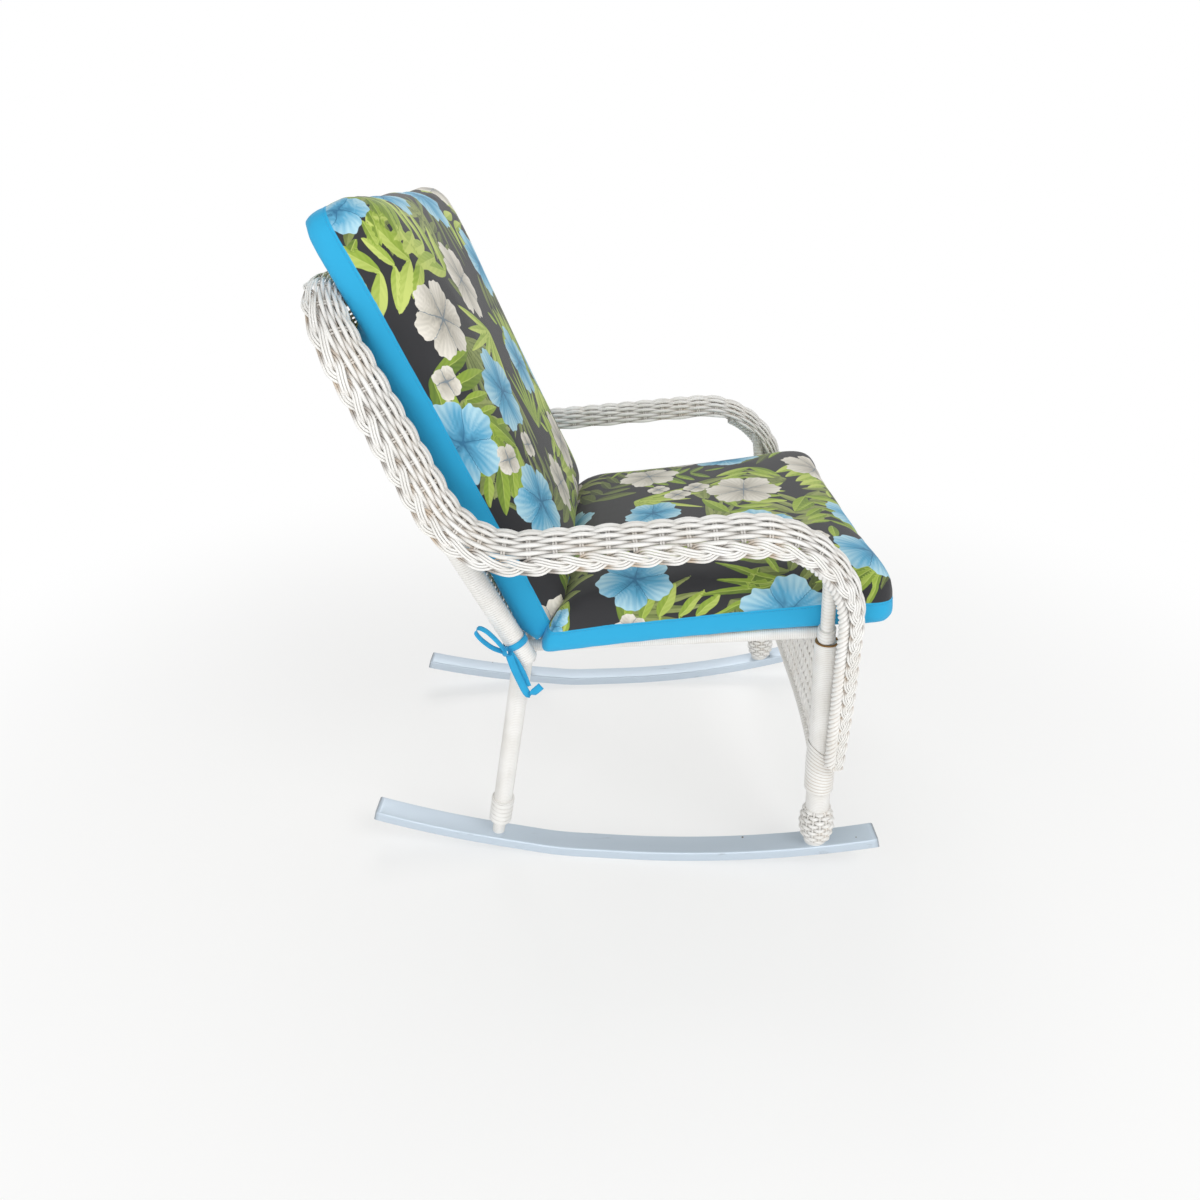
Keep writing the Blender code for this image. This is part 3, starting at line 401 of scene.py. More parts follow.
@cache
def wrapped_tree() -> NodeTree:
    """Lines to poles wrapped with flat cane: a helix of grooves of one pitch and depth.

    Returns:
        The tree.
    """
    tree, sizes = open_tree("wrapped pole", {
        "Sides": "Int", "Pitch": "Float", "Depth": "Float", "Starts": "Float", "Round": "Float"})
    add = partial(add_node, tree)
    curve = add("GeometryNodeMeshToCurve", {"Mesh": sizes["Geometry"]})
    step = add(MATH, {0: sizes["Pitch"], 1: 6.0}, operation="DIVIDE")
    fine = add("GeometryNodeResampleCurve", {"Curve": curve, "Length": step}, mode="LENGTH")
    ring = add("GeometryNodeCurvePrimitiveCircle", {"Resolution": sizes["Sides"], "Radius": 1.0})
    curves, spots = [], []
    for line, name, out in ((fine, "run", "Length"), (ring, "turn", "Factor")):
        spot = add("GeometryNodeSplineParameter", out=out)
        curves.append(add("GeometryNodeStoreNamedAttribute", {"Geometry": line, "Name": name, "Value": spot}, **POINT))
        spots.append(add("GeometryNodeInputNamedAttribute", {"Name": name}, data_type="FLOAT"))
    tube = swept(tree, *curves)
    # the place across one strip of cane, 0 to 1, and from it the height of the strip's crown
    crown = add(MATH, {0: spots[0], 1: sizes["Pitch"]}, operation="DIVIDE")
    crown = add(MATH, {0: spots[1], 1: sizes["Starts"], 2: crown}, operation="MULTIPLY_ADD")
    for operation, other in (("FRACT", 0.0), ("MULTIPLY", math.pi), ("SINE", 0.0), ("POWER", sizes["Round"])):
        crown = add(MATH, {0: crown, 1: other}, operation=operation)
    groove = add(MATH, {0: 1.0, 1: crown}, operation="SUBTRACT")
    sink = add(MATH, {0: groove, 1: sizes["Depth"]}, operation="MULTIPLY")
    sink = add(MATH, {0: sink, 1: -1.0}, operation="MULTIPLY")
    shift = add("ShaderNodeVectorMath", {0: add("GeometryNodeInputNormal"), "Scale": sink}, operation="SCALE")
    # the grooves' depth is stored as low, which the paint darkens as painted shade
    low = add("GeometryNodeStoreNamedAttribute", {"Geometry": tube, "Name": "low", "Value": groove}, **POINT)
    return close_tree(tree, sizes, add("GeometryNodeSetPosition", {"Geometry": low, "Offset": shift}))


@cache
def stitch_tree() -> NodeTree:
    """Lines to rows of thread stitches, each a short round rod along the line.

    Returns:
        The tree.
    """
    tree, sizes = open_tree("row of stitches", {"Pitch": "Float", "Long": "Float", "Thick": "Float"})
    add = partial(add_node, tree)
    curve = add("GeometryNodeMeshToCurve", {"Mesh": sizes["Geometry"]})
    spots = add("GeometryNodeCurveToPoints", {"Curve": curve, "Length": sizes["Pitch"]}, out="Points", mode="LENGTH")
    thread = add("GeometryNodeMeshUVSphere", {"Segments": 6, "Rings": 5, "Radius": 0.5})
    shape = add("ShaderNodeCombineXYZ", {0: sizes["Thick"], 1: sizes["Thick"], 2: sizes["Long"]})
    rods = add("GeometryNodeInstanceOnPoints", {
        "Points": spots, "Instance": thread, "Rotation": spots.node.outputs["Rotation"], "Scale": shape})
    return close_tree(tree, sizes, rods)


@dataclass
class Lines:
    """Lines of one piece, gathered before a tree gives them their section."""

    points: list[ndarray] = field(default_factory=list)
    halves: list[ndarray] = field(default_factory=list)
    lows: list[ndarray] = field(default_factory=list)
    edges: list[ndarray] = field(default_factory=list)
    count: int = 0

    def add(self, line: ndarray, half: float | ndarray, low: float | ndarray = 0.0, closed: bool = False) -> "Lines":
        """Adds one line.

        Args:
            line: Its points.
            half: Radius, one or per point.
            low: How deep it lies in the weave, 0 to 1, one or per point; the paint darkens with it, painted shade that
                is partly dusty.
            closed: Joins the last point to the first.

        Returns:
            These lines.
        """
        size = len(line)
        first = np.arange(size if closed else size - 1)
        self.edges.append(self.count + np.stack((first, (first + 1) % size), axis=1))
        self.points.append(np.asarray(line))
        self.halves.append(np.broadcast_to(half, size))
        self.lows.append(np.broadcast_to(low, size))
        self.count += size
        return self

    def realised(self, name: str, tree: NodeTree, **sizes: object) -> Object:
        """Runs one of the trees on the lines and keeps the result as a plain mesh.

        Args:
            name: Name of the finished piece.
            tree: The tree to run.
            sizes: Values of the tree's named inputs.

        Returns:
            The finished object, with no modifier left on it.
        """
        mesh = bpy.data.meshes.new(name)
        mesh.from_pydata(np.concatenate(self.points).tolist(), np.concatenate(self.edges).tolist(), [])
        store(mesh, "half", np.concatenate(self.halves))
        store(mesh, "low", np.concatenate(self.lows))
        obj = link(name, mesh)
        step = obj.modifiers.new("shape", "NODES")
        step.node_group = tree
        for item in tree.interface.items_tree:
            if item.in_out == "INPUT" and item.name in sizes:
                step[item.identifier] = sizes[item.name]
        renew(obj)
        return obj

    def strands(self, name: str, finish: Material, sides: int = 6) -> Object:
        """The lines as round strands."""
        return self.realised(name, strand_tree(), Sides=sides, Material=finish)

    def wrapped(self, name: str, finish: Material, pitch: float, depth: float,
                sides: int = 20, starts: float = 1.0, crown: float = 0.45) -> Object:
        """The lines as poles wrapped with cane.

        Args:
            name: Name of the finished piece.
            finish: Its material.
            pitch: Width of the cane.
            depth: Depth of the groove between two wraps.
            sides: Points round the pole.
            starts: Strips wound side by side, negative for the other hand.
            crown: Power of the cane's crown, flatter when smaller.

        Returns:
            The finished object.
        """
        return self.realised(name, wrapped_tree(), Sides=sides, Pitch=pitch, Depth=depth, Starts=starts, Round=crown,
                             Material=finish)


# Finishes


def open_material(name: str) -> tuple[Material, NodeTree, Node]:
    """A new material with its tree and its Principled shader."""
    made = bpy.data.materials.new(name)
    made.use_nodes = True
    return made, made.node_tree, made.node_tree.nodes["Principled BSDF"]


@dataclass(frozen=True)
class PaintedRattan:
    """White oil paint brushed over rattan cane and reed: satin, yellowed, and dusty and darkened with painted shade
    where strands go under.
    """

    name: str = "white_painted_rattan"
    paint: str = "#eeedea"
    shade: str = "#e3e1dc"
    # grey-brown of the low places: partly dusty, partly painted shade where strands go under and in the grooves of
    # wrapped cane
    dust_and_shade: str = "#7d7268"
    bare: str = "#b39a7c"
    # how dark the low places get: painted shade, partly dusty
    depth: float = 0.85

    def make(self) -> Material:
        """Paint with soft brushed patches, dusty grey-brown with painted shade in the low places, and fine runs along
        the reed.

        Returns:
            The material.
        """
        made, tree, shader = open_material(self.name)
        add = partial(add_node, tree)
        spot = add("ShaderNodeTexCoord", out="Object")
        # soft patches of about 36 mm, patches of about 70 mm where the paint is rubbed and the cane
        # shows between the strands, and brush runs of about 1.5 mm, drawn at that size so that they show
        patches, rubbed, runs = (add(NOISE, {"Vector": spot, "Scale": scale, "Detail": detail})
                                 for scale, detail in ((28.0, 4.0), (14.0, 2.0), (650.0, 2.0)))
        soft = add(RANGE, {0: patches, 1: 0.35, 2: 0.7})
        paint = add(MIX, {0: soft, 6: linear(self.paint), 7: linear(self.shade)}, **COLOUR)
        spread = add(RANGE, {0: runs, 1: 0.3, 2: 0.7, 3: 0.75, 4: 1.0})
        # painted shade: the low places, where strands go under and in the grooves of wrapped cane, darken to dusty
        # grey-brown, or to tan cane where the paint is rubbed
        dust_and_shade = add("ShaderNodeAttribute", out="Fac", attribute_name="low")
        for operation, other in (("POWER", 2.2), ("MULTIPLY", self.depth), ("MULTIPLY", spread)):
            dust_and_shade = add(MATH, {0: dust_and_shade, 1: other}, operation=operation, use_clamp=True)
        share = add(RANGE, {0: rubbed, 1: 0.48, 2: 0.66})
        below = add(MIX, {0: share, 6: linear(self.dust_and_shade), 7: linear(self.bare)}, **COLOUR)
        feed(tree, shader, {
            "Base Color": add(MIX, {0: dust_and_shade, 6: paint, 7: below}, **COLOUR),
            "Roughness": add(RANGE, {0: patches, 1: 0.3, 2: 0.7, 3: 0.42, 4: 0.58}),
            "Normal": add("ShaderNodeBump", {"Height": runs, "Strength": 0.18, "Distance": 0.0006}),
            "IOR": 1.5})
        return made


@dataclass(frozen=True)
class RockerPaint:
    """Sprayed silver-grey enamel on steel tube: satin, a fine orange peel, thin scuffs and a few chips."""

    name: str = "silver_grey_enamel"
    paint: str = "#c4d1dd"
    scuff: str = "#8d949b"
    steel: str = "#5f574f"

    def make(self) -> Material:
        """Enamel with orange peel of about 1.2 mm, thin scuffs and chips down to the steel.

        Returns:
            The material.
        """
        made, tree, shader = open_material(self.name)
        add = partial(add_node, tree)
        spot = add("ShaderNodeTexCoord", out="Object")
        peel = add(NOISE, {"Vector": spot, "Scale": 800.0, "Detail": 1.0})
        stretch = add("ShaderNodeMapping", {"Vector": spot, "Scale": (90, 14, 60)})
        marks = add(NOISE, {"Vector": stretch, "Scale": 1.0, "Detail": 8.0, "Roughness": 0.7})
        scuffs = add(RANGE, {0: marks, 1: 0.62, 2: 0.74, 3: 0.0, 4: 0.55})
        # chips of about 3 mm, a few on each rail, where bare steel shows
        cells = add("ShaderNodeTexVoronoi", {"Vector": spot, "Scale": 26.0}, out="Distance")
        chips = add(RANGE, {0: cells, 1: 0.050, 2: 0.036})
        colour = linear(self.paint)
        for share, tone in ((scuffs, self.scuff), (chips, self.steel)):
            colour = add(MIX, {0: share, 6: colour, 7: linear(tone)}, **COLOUR)
        feed(tree, shader, {
            "Base Color": colour,
            "Roughness": add(RANGE, {0: marks, 1: 0.3, 2: 0.7, 3: 0.32, 4: 0.5}),
            "Normal": add("ShaderNodeBump", {"Height": peel, "Strength": 0.08, "Distance": 0.0005}),
            "Metallic": 0.25})
        return made


@dataclass(frozen=True)
class Grained:
    """A plain moulded, plated, cut or spun stuff with a fine grain, such as polyethylene plugs or zinc plating."""

    name: str
    light: str
    dark: str
    grain: float
    metallic: float
    roughness: float

    def make(self) -> Material:
        """Two close tones mixed by a fine grain, with a little bump.

        Returns:
            The material.
        """
        made, tree, shader = open_material(self.name)
        spot = add_node(tree, "ShaderNodeTexCoord", out="Object")
        grain = add_node(tree, NOISE, {"Vector": spot, "Scale": 1 / self.grain, "Detail": 3.0})
        feed(tree, shader, {
            "Base Color": add_node(tree, MIX, {0: grain, 6: linear(self.light), 7: linear(self.dark)}, **COLOUR),
            "Normal": add_node(tree, "ShaderNodeBump", {"Height": grain, "Strength": 0.15, "Distance": 0.0004}),
            "Metallic": self.metallic, "Roughness": self.roughness})
        return made


def weave_bump(tree: NodeTree, thread: float) -> NodeSocket:
    """Bump of a plain weave over the cloth coordinates, with drawn threads of one spacing in metres.

    Args:
        tree: The tree that gets the nodes.
        thread: Spacing of the drawn threads in metres.

    Returns:
        The bump's normal.
    """
    spot = add_node(tree, "ShaderNodeAttribute", out="Vector", attribute_name="cloth")
    waves = [add_node(tree, "ShaderNodeTexWave", {
        "Vector": spot, "Scale": math.pi / thread / 10, "Distortion": 0.4, "Detail": 1.0},
        out="Fac", bands_direction=axis) for axis in ("X", "Y")]
    height = add_node(tree, MATH, {0: waves[0], 1: waves[1]}, operation="MULTIPLY")
    return add_node(tree, "ShaderNodeBump", {"Height": height, "Strength": 0.25, "Distance": 0.0003})


@dataclass(frozen=True)
class PlainCotton:
    """Turquoise cotton canvas, piece-dyed: even colour, matt, a visible plain weave."""

    name: str = "turquoise_cotton_canvas"
    dye: str = "#25a9da"
    fold: str = "#1c92c2"
    thread: float = 0.0014  # real threads are near 0.5 mm: drawn coarser so that the weave shows

    def make(self) -> Material:
        """Canvas with faint lighter and darker patches of about 17 mm.

        Returns:
            The material.
        """
        made, tree, shader = open_material(self.name)
        spot = add_node(tree, "ShaderNodeTexCoord", out="Object")
        patches = add_node(tree, NOISE, {"Vector": spot, "Scale": 60.0, "Detail": 3.0})
        feed(tree, shader, {
            "Base Color": add_node(tree, MIX, {0: patches, 6: linear(self.dye), 7: linear(self.fold)}, **COLOUR),
            "Normal": weave_bump(tree, self.thread), "Roughness": 0.85, "Sheen Weight": 0.15})
        return made


@dataclass(frozen=True)
class PrintedCotton:
    """Cotton canvas with a printed garden of leaves and round blossoms on charcoal, and a plain turquoise border."""

    name: str = "printed_cotton_canvas"
    ground: str = "#27272a"
    low_leaf: tuple[str, str, str] = ("#454f2c", "#6e7b40", "#959f60")
    high_leaf: tuple[str, str, str] = ("#59712a", "#8fa83c", "#c2cf70")
    blue: tuple[str, str, str] = ("#2c6d92", "#58a4c7", "#b2d8e5")
    cream: tuple[str, str, str] = ("#8d8a84", "#c0bbaf", "#e6e1d6")
    cream_seam: str = "#76838c"
    border: str = "#22a6d6"
    blur: float = 0.35  # half the soft edge of a printed shape, in millimetres
    thread: float = 0.0014  # real threads are near 0.5 mm: drawn coarser so that the weave shows

    def toned(self, tree: NodeTree, value: NodeSocket, tones: tuple[str, str, str]) -> NodeSocket:
        """Three tones mixed along a value from 0 to 1.

        Args:
            tree: The tree that gets the nodes.
            value: The value.
            tones: Its dark, middle and light tone.

        Returns:
            The mixed colour.
        """
        colour = linear(tones[0])
        for start, tone in ((0.0, tones[1]), (0.5, tones[2])):
            share = add_node(tree, RANGE, {0: value, 1: start, 2: start + 0.5})
            colour = add_node(tree, MIX, {0: share, 6: colour, 7: linear(tone)}, **COLOUR)
        return colour

    def leaves(self, tree: NodeTree, under: object, layer: str, tones: tuple[str, str, str]) -> NodeSocket:
        """One layer of leaves over a colour: two halves of unlike light, fine veins and a pale rib.

        Args:
            tree: The material's tree.
            under: The colour below.
            layer: First word of the layer's attributes.
            tones: Its dark, middle and light tone.

        Returns:
            The colour with the leaves on it.
        """
        add = partial(add_node, tree)
        edge, side, part, tone = (add("ShaderNodeAttribute", out="Fac", attribute_name=f"{layer}_{key}")
                                  for key in ("edge", "side", "part", "shade"))
        off = add(MATH, {0: side}, operation="ABSOLUTE")
        phase = add(MATH, {0: part, 1: 34.0}, operation="MULTIPLY")
        phase = add(MATH, {0: off, 1: -0.9, 2: phase}, operation="MULTIPLY_ADD")
        vein = add(MATH, {0: phase}, operation="SINE")
        lit = add(RANGE, {0: side, 1: -0.3, 2: 0.3})
        for value, weight in ((vein, 0.05), (part, 0.32), (lit, 0.3)):
            tone = add(MATH, {0: value, 1: weight, 2: tone}, operation="MULTIPLY_ADD")
        tone = add(MATH, {0: tone, 1: 0.3}, operation="SUBTRACT")
        rib = 0.55
        for value, far, near in ((off, 0.9, 0.3), (part, 0.95, 0.55)):
            rib = add(MATH, {0: add(RANGE, {0: value, 1: far, 2: near}), 1: rib}, operation="MULTIPLY")
        leaf = add(MIX, {0: rib, 6: self.toned(tree, tone, tones), 7: linear(tones[2])}, **COLOUR)
        inside = add(RANGE, {0: edge, 1: -self.blur, 2: self.blur})
        return add(MIX, {0: inside, 6: under, 7: leaf}, **COLOUR)

    def make(self) -> Material:
        """Layers of print, each cut out by its own distance attribute, with the border over them.

        Returns:
            The material.
        """
        made, tree, shader = open_material(self.name)
        add = partial(add_node, tree)
        colour = self.leaves(tree, linear(self.ground), "low", self.low_leaf)
        colour = self.leaves(tree, colour, "high", self.high_leaf)
        edge, seam, tone, kind, rise = (
            add("ShaderNodeAttribute", out="Fac", attribute_name=key)
            for key in ("bloom_edge", "bloom_seam", "bloom_tone", "bloom_kind", "rise"))
        kind = add(RANGE, {0: kind, 1: 0.45, 2: 0.55})
        blue, cream = (self.toned(tree, tone, tones) for tones in (self.blue, self.cream))
        petals = add(MIX, {0: kind, 6: blue, 7: cream}, **COLOUR)
        seams = add(MIX, {0: kind, 6: linear(self.blue[0]), 7: linear(self.cream_seam)}, **COLOUR)
        near = add(RANGE, {0: add(MATH, {0: seam}, operation="ABSOLUTE"), 1: 1.3, 2: 0.3})
        petals = add(MIX, {0: near, 6: petals, 7: seams}, **COLOUR)
        inside = add(RANGE, {0: edge, 1: -self.blur, 2: self.blur})
        colour = add(MIX, {0: inside, 6: colour, 7: petals}, **COLOUR)
        above, below = (add(RANGE, {0: rise, 1: first, 2: last}) for first, last in ((1.2, 1.8), (31.4, 30.6)))
        band = add(MATH, {0: above, 1: below}, operation="MULTIPLY")
        feed(tree, shader, {
            "Base Color": add(MIX, {0: band, 6: colour, 7: linear(self.border)}, **COLOUR),
            "Normal": weave_bump(tree, self.thread), "Roughness": 0.82, "Sheen Weight": 0.12})
        return made


# Sub-assemblies


@dataclass
class Rockers:
    """The two bent rails with their end plugs and bolts."""

    radius: float = 1.5
    length: float = 0.793
    width: float = 0.040
    height: float = 0.0175
    rest_front: float = 0.022
    rest_rear: float = 0.102
    out_rear: float = 0.2354
    out_front: float = 0.2897
    corner: float = 0.003
    smoothing: float = 0.030
    # (length past the rail's end, share of the rail's section) of the rings of a plug
    plug: tuple[tuple[float, float], ...] = (
        (-0.010, 0.9), (0.0, 0.9), (0.0001, 0.985), (0.00132, 0.98), (0.00198, 0.94), (0.0022, 0.86))
    pocket_radius: float = 0.0081
    pocket_from: float = -0.03
    pocket_to: float = 0.0032

    def arc(self, spots: ndarray) -> ndarray:
        """Height of the underside before it is softened: the rocking arc and the flat that it rests on.

        Args:
            spots: Places forward of the middle.

        Returns:
            The heights.
        """
        up = self.radius - np.sqrt(self.radius ** 2 - spots ** 2)
        for rest, beyond in ((self.rest_front, spots), (self.rest_rear, -spots)):
            slope = 2 * math.atan(rest / self.radius)
            line = np.maximum(0.0, (beyond - rest) * math.tan(slope))
            up = np.where((beyond >= 0) & (beyond < self.radius * math.sin(slope)), line, up)
        return up

    def section(self) -> ndarray:
        """Rounded corners of a rail's section: (across, up) points from the underside's middle line.

        Returns:
            The points.
        """
        half, low, high = self.width / 2 - self.corner, self.corner, self.height - self.corner
        loop = []
        for quarter, middle in enumerate(((half, low), (half, high), (-half, high), (-half, low))):
            angles = np.radians(90 * quarter - 90 + 22.5 * np.arange(5))
            loop.append(middle + self.corner * np.stack((np.cos(angles), np.sin(angles)), axis=1))
        return np.concatenate(loop)

    def rings(self, side: int, forward: ndarray, section: ndarray) -> ndarray:
        """Rings of a section square to the arc at each forward place.

        Args:
            side: 1 for left, -1 for right.
            forward: The places.
            section: The section's (across, up) points.

        Returns:
            Array of rings, points and coordinates.
        """
        window = np.linspace(-self.smoothing, self.smoothing, 25)
        up = self.arc(forward[:, None] + window).mean(axis=1)
        slope = np.arctan(np.gradient(up, forward))[:, None]
        out = self.out_rear + (self.out_front - self.out_rear) * (0.5 + forward / self.length)
        across, rise = section.T
        return np.stack((side * (out[:, None] + across), SHIFT - (forward[:, None] - rise * np.sin(slope)),
                         up[:, None] + rise * np.cos(slope)), axis=2)

    def build(self, enamel: Material, plastic: Material, zinc: Material) -> None:
        """Makes rails, plugs and the finish of the bolts.

        Args:
            enamel: Finish of the rails.
            plastic: Finish of the plugs.
            zinc: Finish of the bolts.
        """
        half, section = self.length / 2, self.section()
        middle = np.array((0, self.height / 2))
        for word, side in SIDES.items():
            rail = solid(f"bent_rail_{word}", self.rings(side, np.linspace(-half, half, 121), section), enamel)
            for end in ("front", "rear"):
                self.pocket(rail, f"rocker_bolt_{end}_{word}")
                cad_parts[f"rocker_bolt_{end}_{word}"].data.materials[0] = zinc
            dressed(rail, Slot.ROCKER, f"rocker_rail_{word}")
            for end, sign in (("front", 1), ("rear", -1)):
                rings = []
                for past, share in self.plug:
                    spots = sign * (half + past) + np.array((-0.002, 0.0, 0.002))
                    rings.append(self.rings(side, spots, middle + (section - middle) * share)[1])
                plug = solid(f"end_plug_{end}_{word}", np.array(rings), plastic)
                dressed(plug, Slot.PLUG, f"rocker_plug_{end}_{word}")

    def pocket(self, rail: Object, bolt: str) -> None:
        """Cuts the access hole under one bolt head into a rail.

        Args:
            rail: The rail.
            bolt: The bolt's node.
        """
        points, low = node_points(bolt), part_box(bolt)[0][2]
        head = points[points[:, 2] < low + 0.003].mean(axis=0)
        ring = circle(24, RIGHT, REAR) * self.pocket_radius + (head[0], head[1], low)
        levels = [ring + UP * up for up in (self.pocket_from, self.pocket_to)]
        tool = solid("pocket_tool", np.array(levels), rail.data.materials[0])
        baked(rail, "BOOLEAN", object=tool, operation="DIFFERENCE", solver="EXACT")
        bpy.data.objects.remove(tool)


@dataclass
class Poles:
    """Straight poles wrapped with cane: legs, posts, rails, bindings and collars."""

    leg_pitch: float = 0.0030
    leg_depth: float = 0.0004
    post_pitch: float = 0.0060
    post_depth: float = 0.0009
    binding_pitch: float = 0.0062
    collar_pitch: float = 0.0085
    binding_depth: float = 0.0011
    tenon_radius: float = 0.010
    tenon_height: float = 0.026
    sleeve_rear: float = 0.088
    sleeve_front: float = 0.061
    sleeve_wraps: int = 13
    sleeve_thins: float = 0.0019
    # (radius, height) of the section of the cane's bare rim
    rim: tuple[tuple[float, float], ...] = ((0.0130, -0.001), (0.0170, -0.001), (0.0170, 0.0007), (0.0130, 0.0010))

    def build(self, paint: Material, cane: Material) -> None:
        """Makes every straight pole from its node.

        Args:
            paint: Finish of the rattan.
            cane: Finish of the cut cane.
        """
        for node in ("front_leg_left", "front_leg_right", "seat_rail_front", "seat_rail_rear", "seat_rail_left",
                     "seat_rail_right", "seat_rail_cross"):
            self.pole(node, paint, self.leg_pitch, self.leg_depth)
        for word in SIDES:
            self.pole(f"arm_post_{word}", paint, self.post_pitch, self.post_depth)
        for word in SIDES:
            start, end, radius = pole_of(f"rear_leg_{word}")
            shoulder = self.tenon_height / np.linalg.norm(end - start)
            path = start + np.outer((0, shoulder, shoulder + 0.002, 1), end - start)
            lines = Lines().add(path, np.array((self.tenon_radius, self.tenon_radius, radius, radius)))
            pole = lines.wrapped(f"rear_pole_{word}", paint, self.leg_pitch, self.leg_depth)
            dressed(pole, Slot.RATTAN, f"rear_leg_{word}")
            self.sleeve(word, paint)
            self.cut_end(word, cane)
            self.pole(f"arm_post_binding_{word}", paint, self.binding_pitch, self.binding_depth)
            self.pole(f"rear_leg_collar_{word}", paint, self.collar_pitch, self.binding_depth)

    def rearward(self, along: ndarray) -> ndarray:
        """The direction to the rear, square to a pole."""
        return unit(REAR - along * along[1])

    def sleeve(self, word: str, paint: Material) -> None:
        """The binding over a front leg, wound obliquely: high behind, low in front.

        Args:
            word: left or right.
            paint: Finish of the rattan.
        """
        start, end, radius = pole_of(f"front_leg_binding_{word}")
        along = unit(end - start)
        rear = self.rearward(along)
        radial = circle(32, rear, np.cross(along, rear))
        top = self.sleeve_front + (self.sleeve_rear - self.sleeve_front) * (0.5 + 0.5 * radial @ rear)
        shares = np.linspace(0, 1, self.sleeve_wraps * 6 + 1)
        groove = 1 - np.abs(np.sin(math.pi * self.sleeve_wraps * shares)) ** 0.45
        reach = radius - np.interp(shares, (0, 0.55, 1), (0, 0, self.sleeve_thins)) - self.binding_depth * groove
        rings = start + along * (shares[:, None] * top)[..., None] + radial * reach[:, None, None]
        sleeve = solid(f"oblique_binding_{word}", rings, paint)
        # the grooves between wraps, stored as low, are darkened in the paint as painted shade
        store(sleeve.data, "low", np.repeat(groove, len(radial)))
        dressed(sleeve, Slot.RATTAN, f"front_leg_binding_{word}")

    def cut_end(self, word: str, cane: Material) -> None:
        """The bare rim of the cane at the top of a front leg.

        Args:
            word: left or right.
            cane: Finish of the cut cane.
        """
        start, end, _ = pole_of(f"front_leg_{word}")
        along = unit(end - start)
        rear = self.rearward(along)
        rings = [[end + radial * reach + along * up for reach, up in self.rim]
                 for radial in circle(40, rear, np.cross(along, rear))]
        dressed(solid(f"cut_cane_end_{word}", np.array(rings), cane, closed=True), Slot.RATTAN)

    def pole(self, node: str, paint: Material, pitch: float, depth: float) -> None:
        """Makes one pole of one radius."""
        start, end, radius = pole_of(node)
        lines = Lines().add(np.array((start, (start + end) / 2, end)), radius)
        dressed(lines.wrapped(f"wrapped_{node}", paint, pitch, depth), Slot.RATTAN, node)


@dataclass
class BallFeet:
    """Woven balls round the feet of the front legs."""

    rows: int = 9
    stakes: int = 14
    reed: float = 0.0030
    wave: float = 0.0013
    swells: tuple[tuple[float, float], ...] = ((0, 0.32), (0.2, 0.8), (0.45, 1), (0.7, 0.85), (0.9, 0.5), (1, 0.22))
    inner: float = 0.018
    outer: float = 0.0265
    first_row: float = 0.05
    row_span: float = 0.9

    def spot(self, foot: tuple[ndarray, ndarray, float], share: ndarray, angle: ndarray, lift: ndarray) -> ndarray:
        """Points on a ball.

        Args:
            foot: Ends and radius of the ball's node.
            share: Shares of its height.
            angle: Angles round it.
            lift: Lifts off the skin.

        Returns:
            The points.
        """
        start, end, _ = foot
        along = unit(end - start)
        first = unit(np.cross(along, (0, 1, 0.1)))
        swell = np.interp(share, *zip(*self.swells))
        radius = self.inner + (self.outer - self.inner) * swell - self.reed + lift
        radial = np.outer(np.cos(angle), first) + np.outer(np.sin(angle), np.cross(along, first))
        return start + np.outer(share, end - start) + radial * radius[:, None]

    def build(self, paint: Material) -> None:
        """Weaves both balls: rings of reed in and out of upright stakes.

        Args:
            paint: Finish of the rattan.
        """
        turns = np.linspace(0, 2 * math.pi, self.stakes * 6, endpoint=False)
        heights = np.linspace(0.0, 1.0, self.rows * 3)
        for word in SIDES:
            foot, lines = pole_of(f"ball_foot_{word}"), Lines()
            for row in range(self.rows):
                share = np.full(len(turns), self.first_row + self.row_span * row / (self.rows - 1))
                wave = np.cos(turns * self.stakes / 2 + math.pi * row)
                # reeds are painted darker where they go under the stakes: painted shade
                lines.add(self.spot(foot, share, turns, wave * self.wave), self.reed, (1 - wave) / 2, closed=True)
            for stake in range(self.stakes):
                angle = np.full(len(heights), 2 * math.pi * stake / self.stakes)
                row = (heights - self.first_row) / self.row_span * (self.rows - 1)
                wave = np.cos(math.pi * (row + stake))
                # stakes are painted darker all along, as painted shade under the reeds
                lines.add(self.spot(foot, heights, angle, -wave * self.wave * 0.6), self.reed * 0.6, 0.5)
            dressed(lines.strands(f"woven_ball_{word}", paint), Slot.RATTAN, f"ball_foot_{word}")


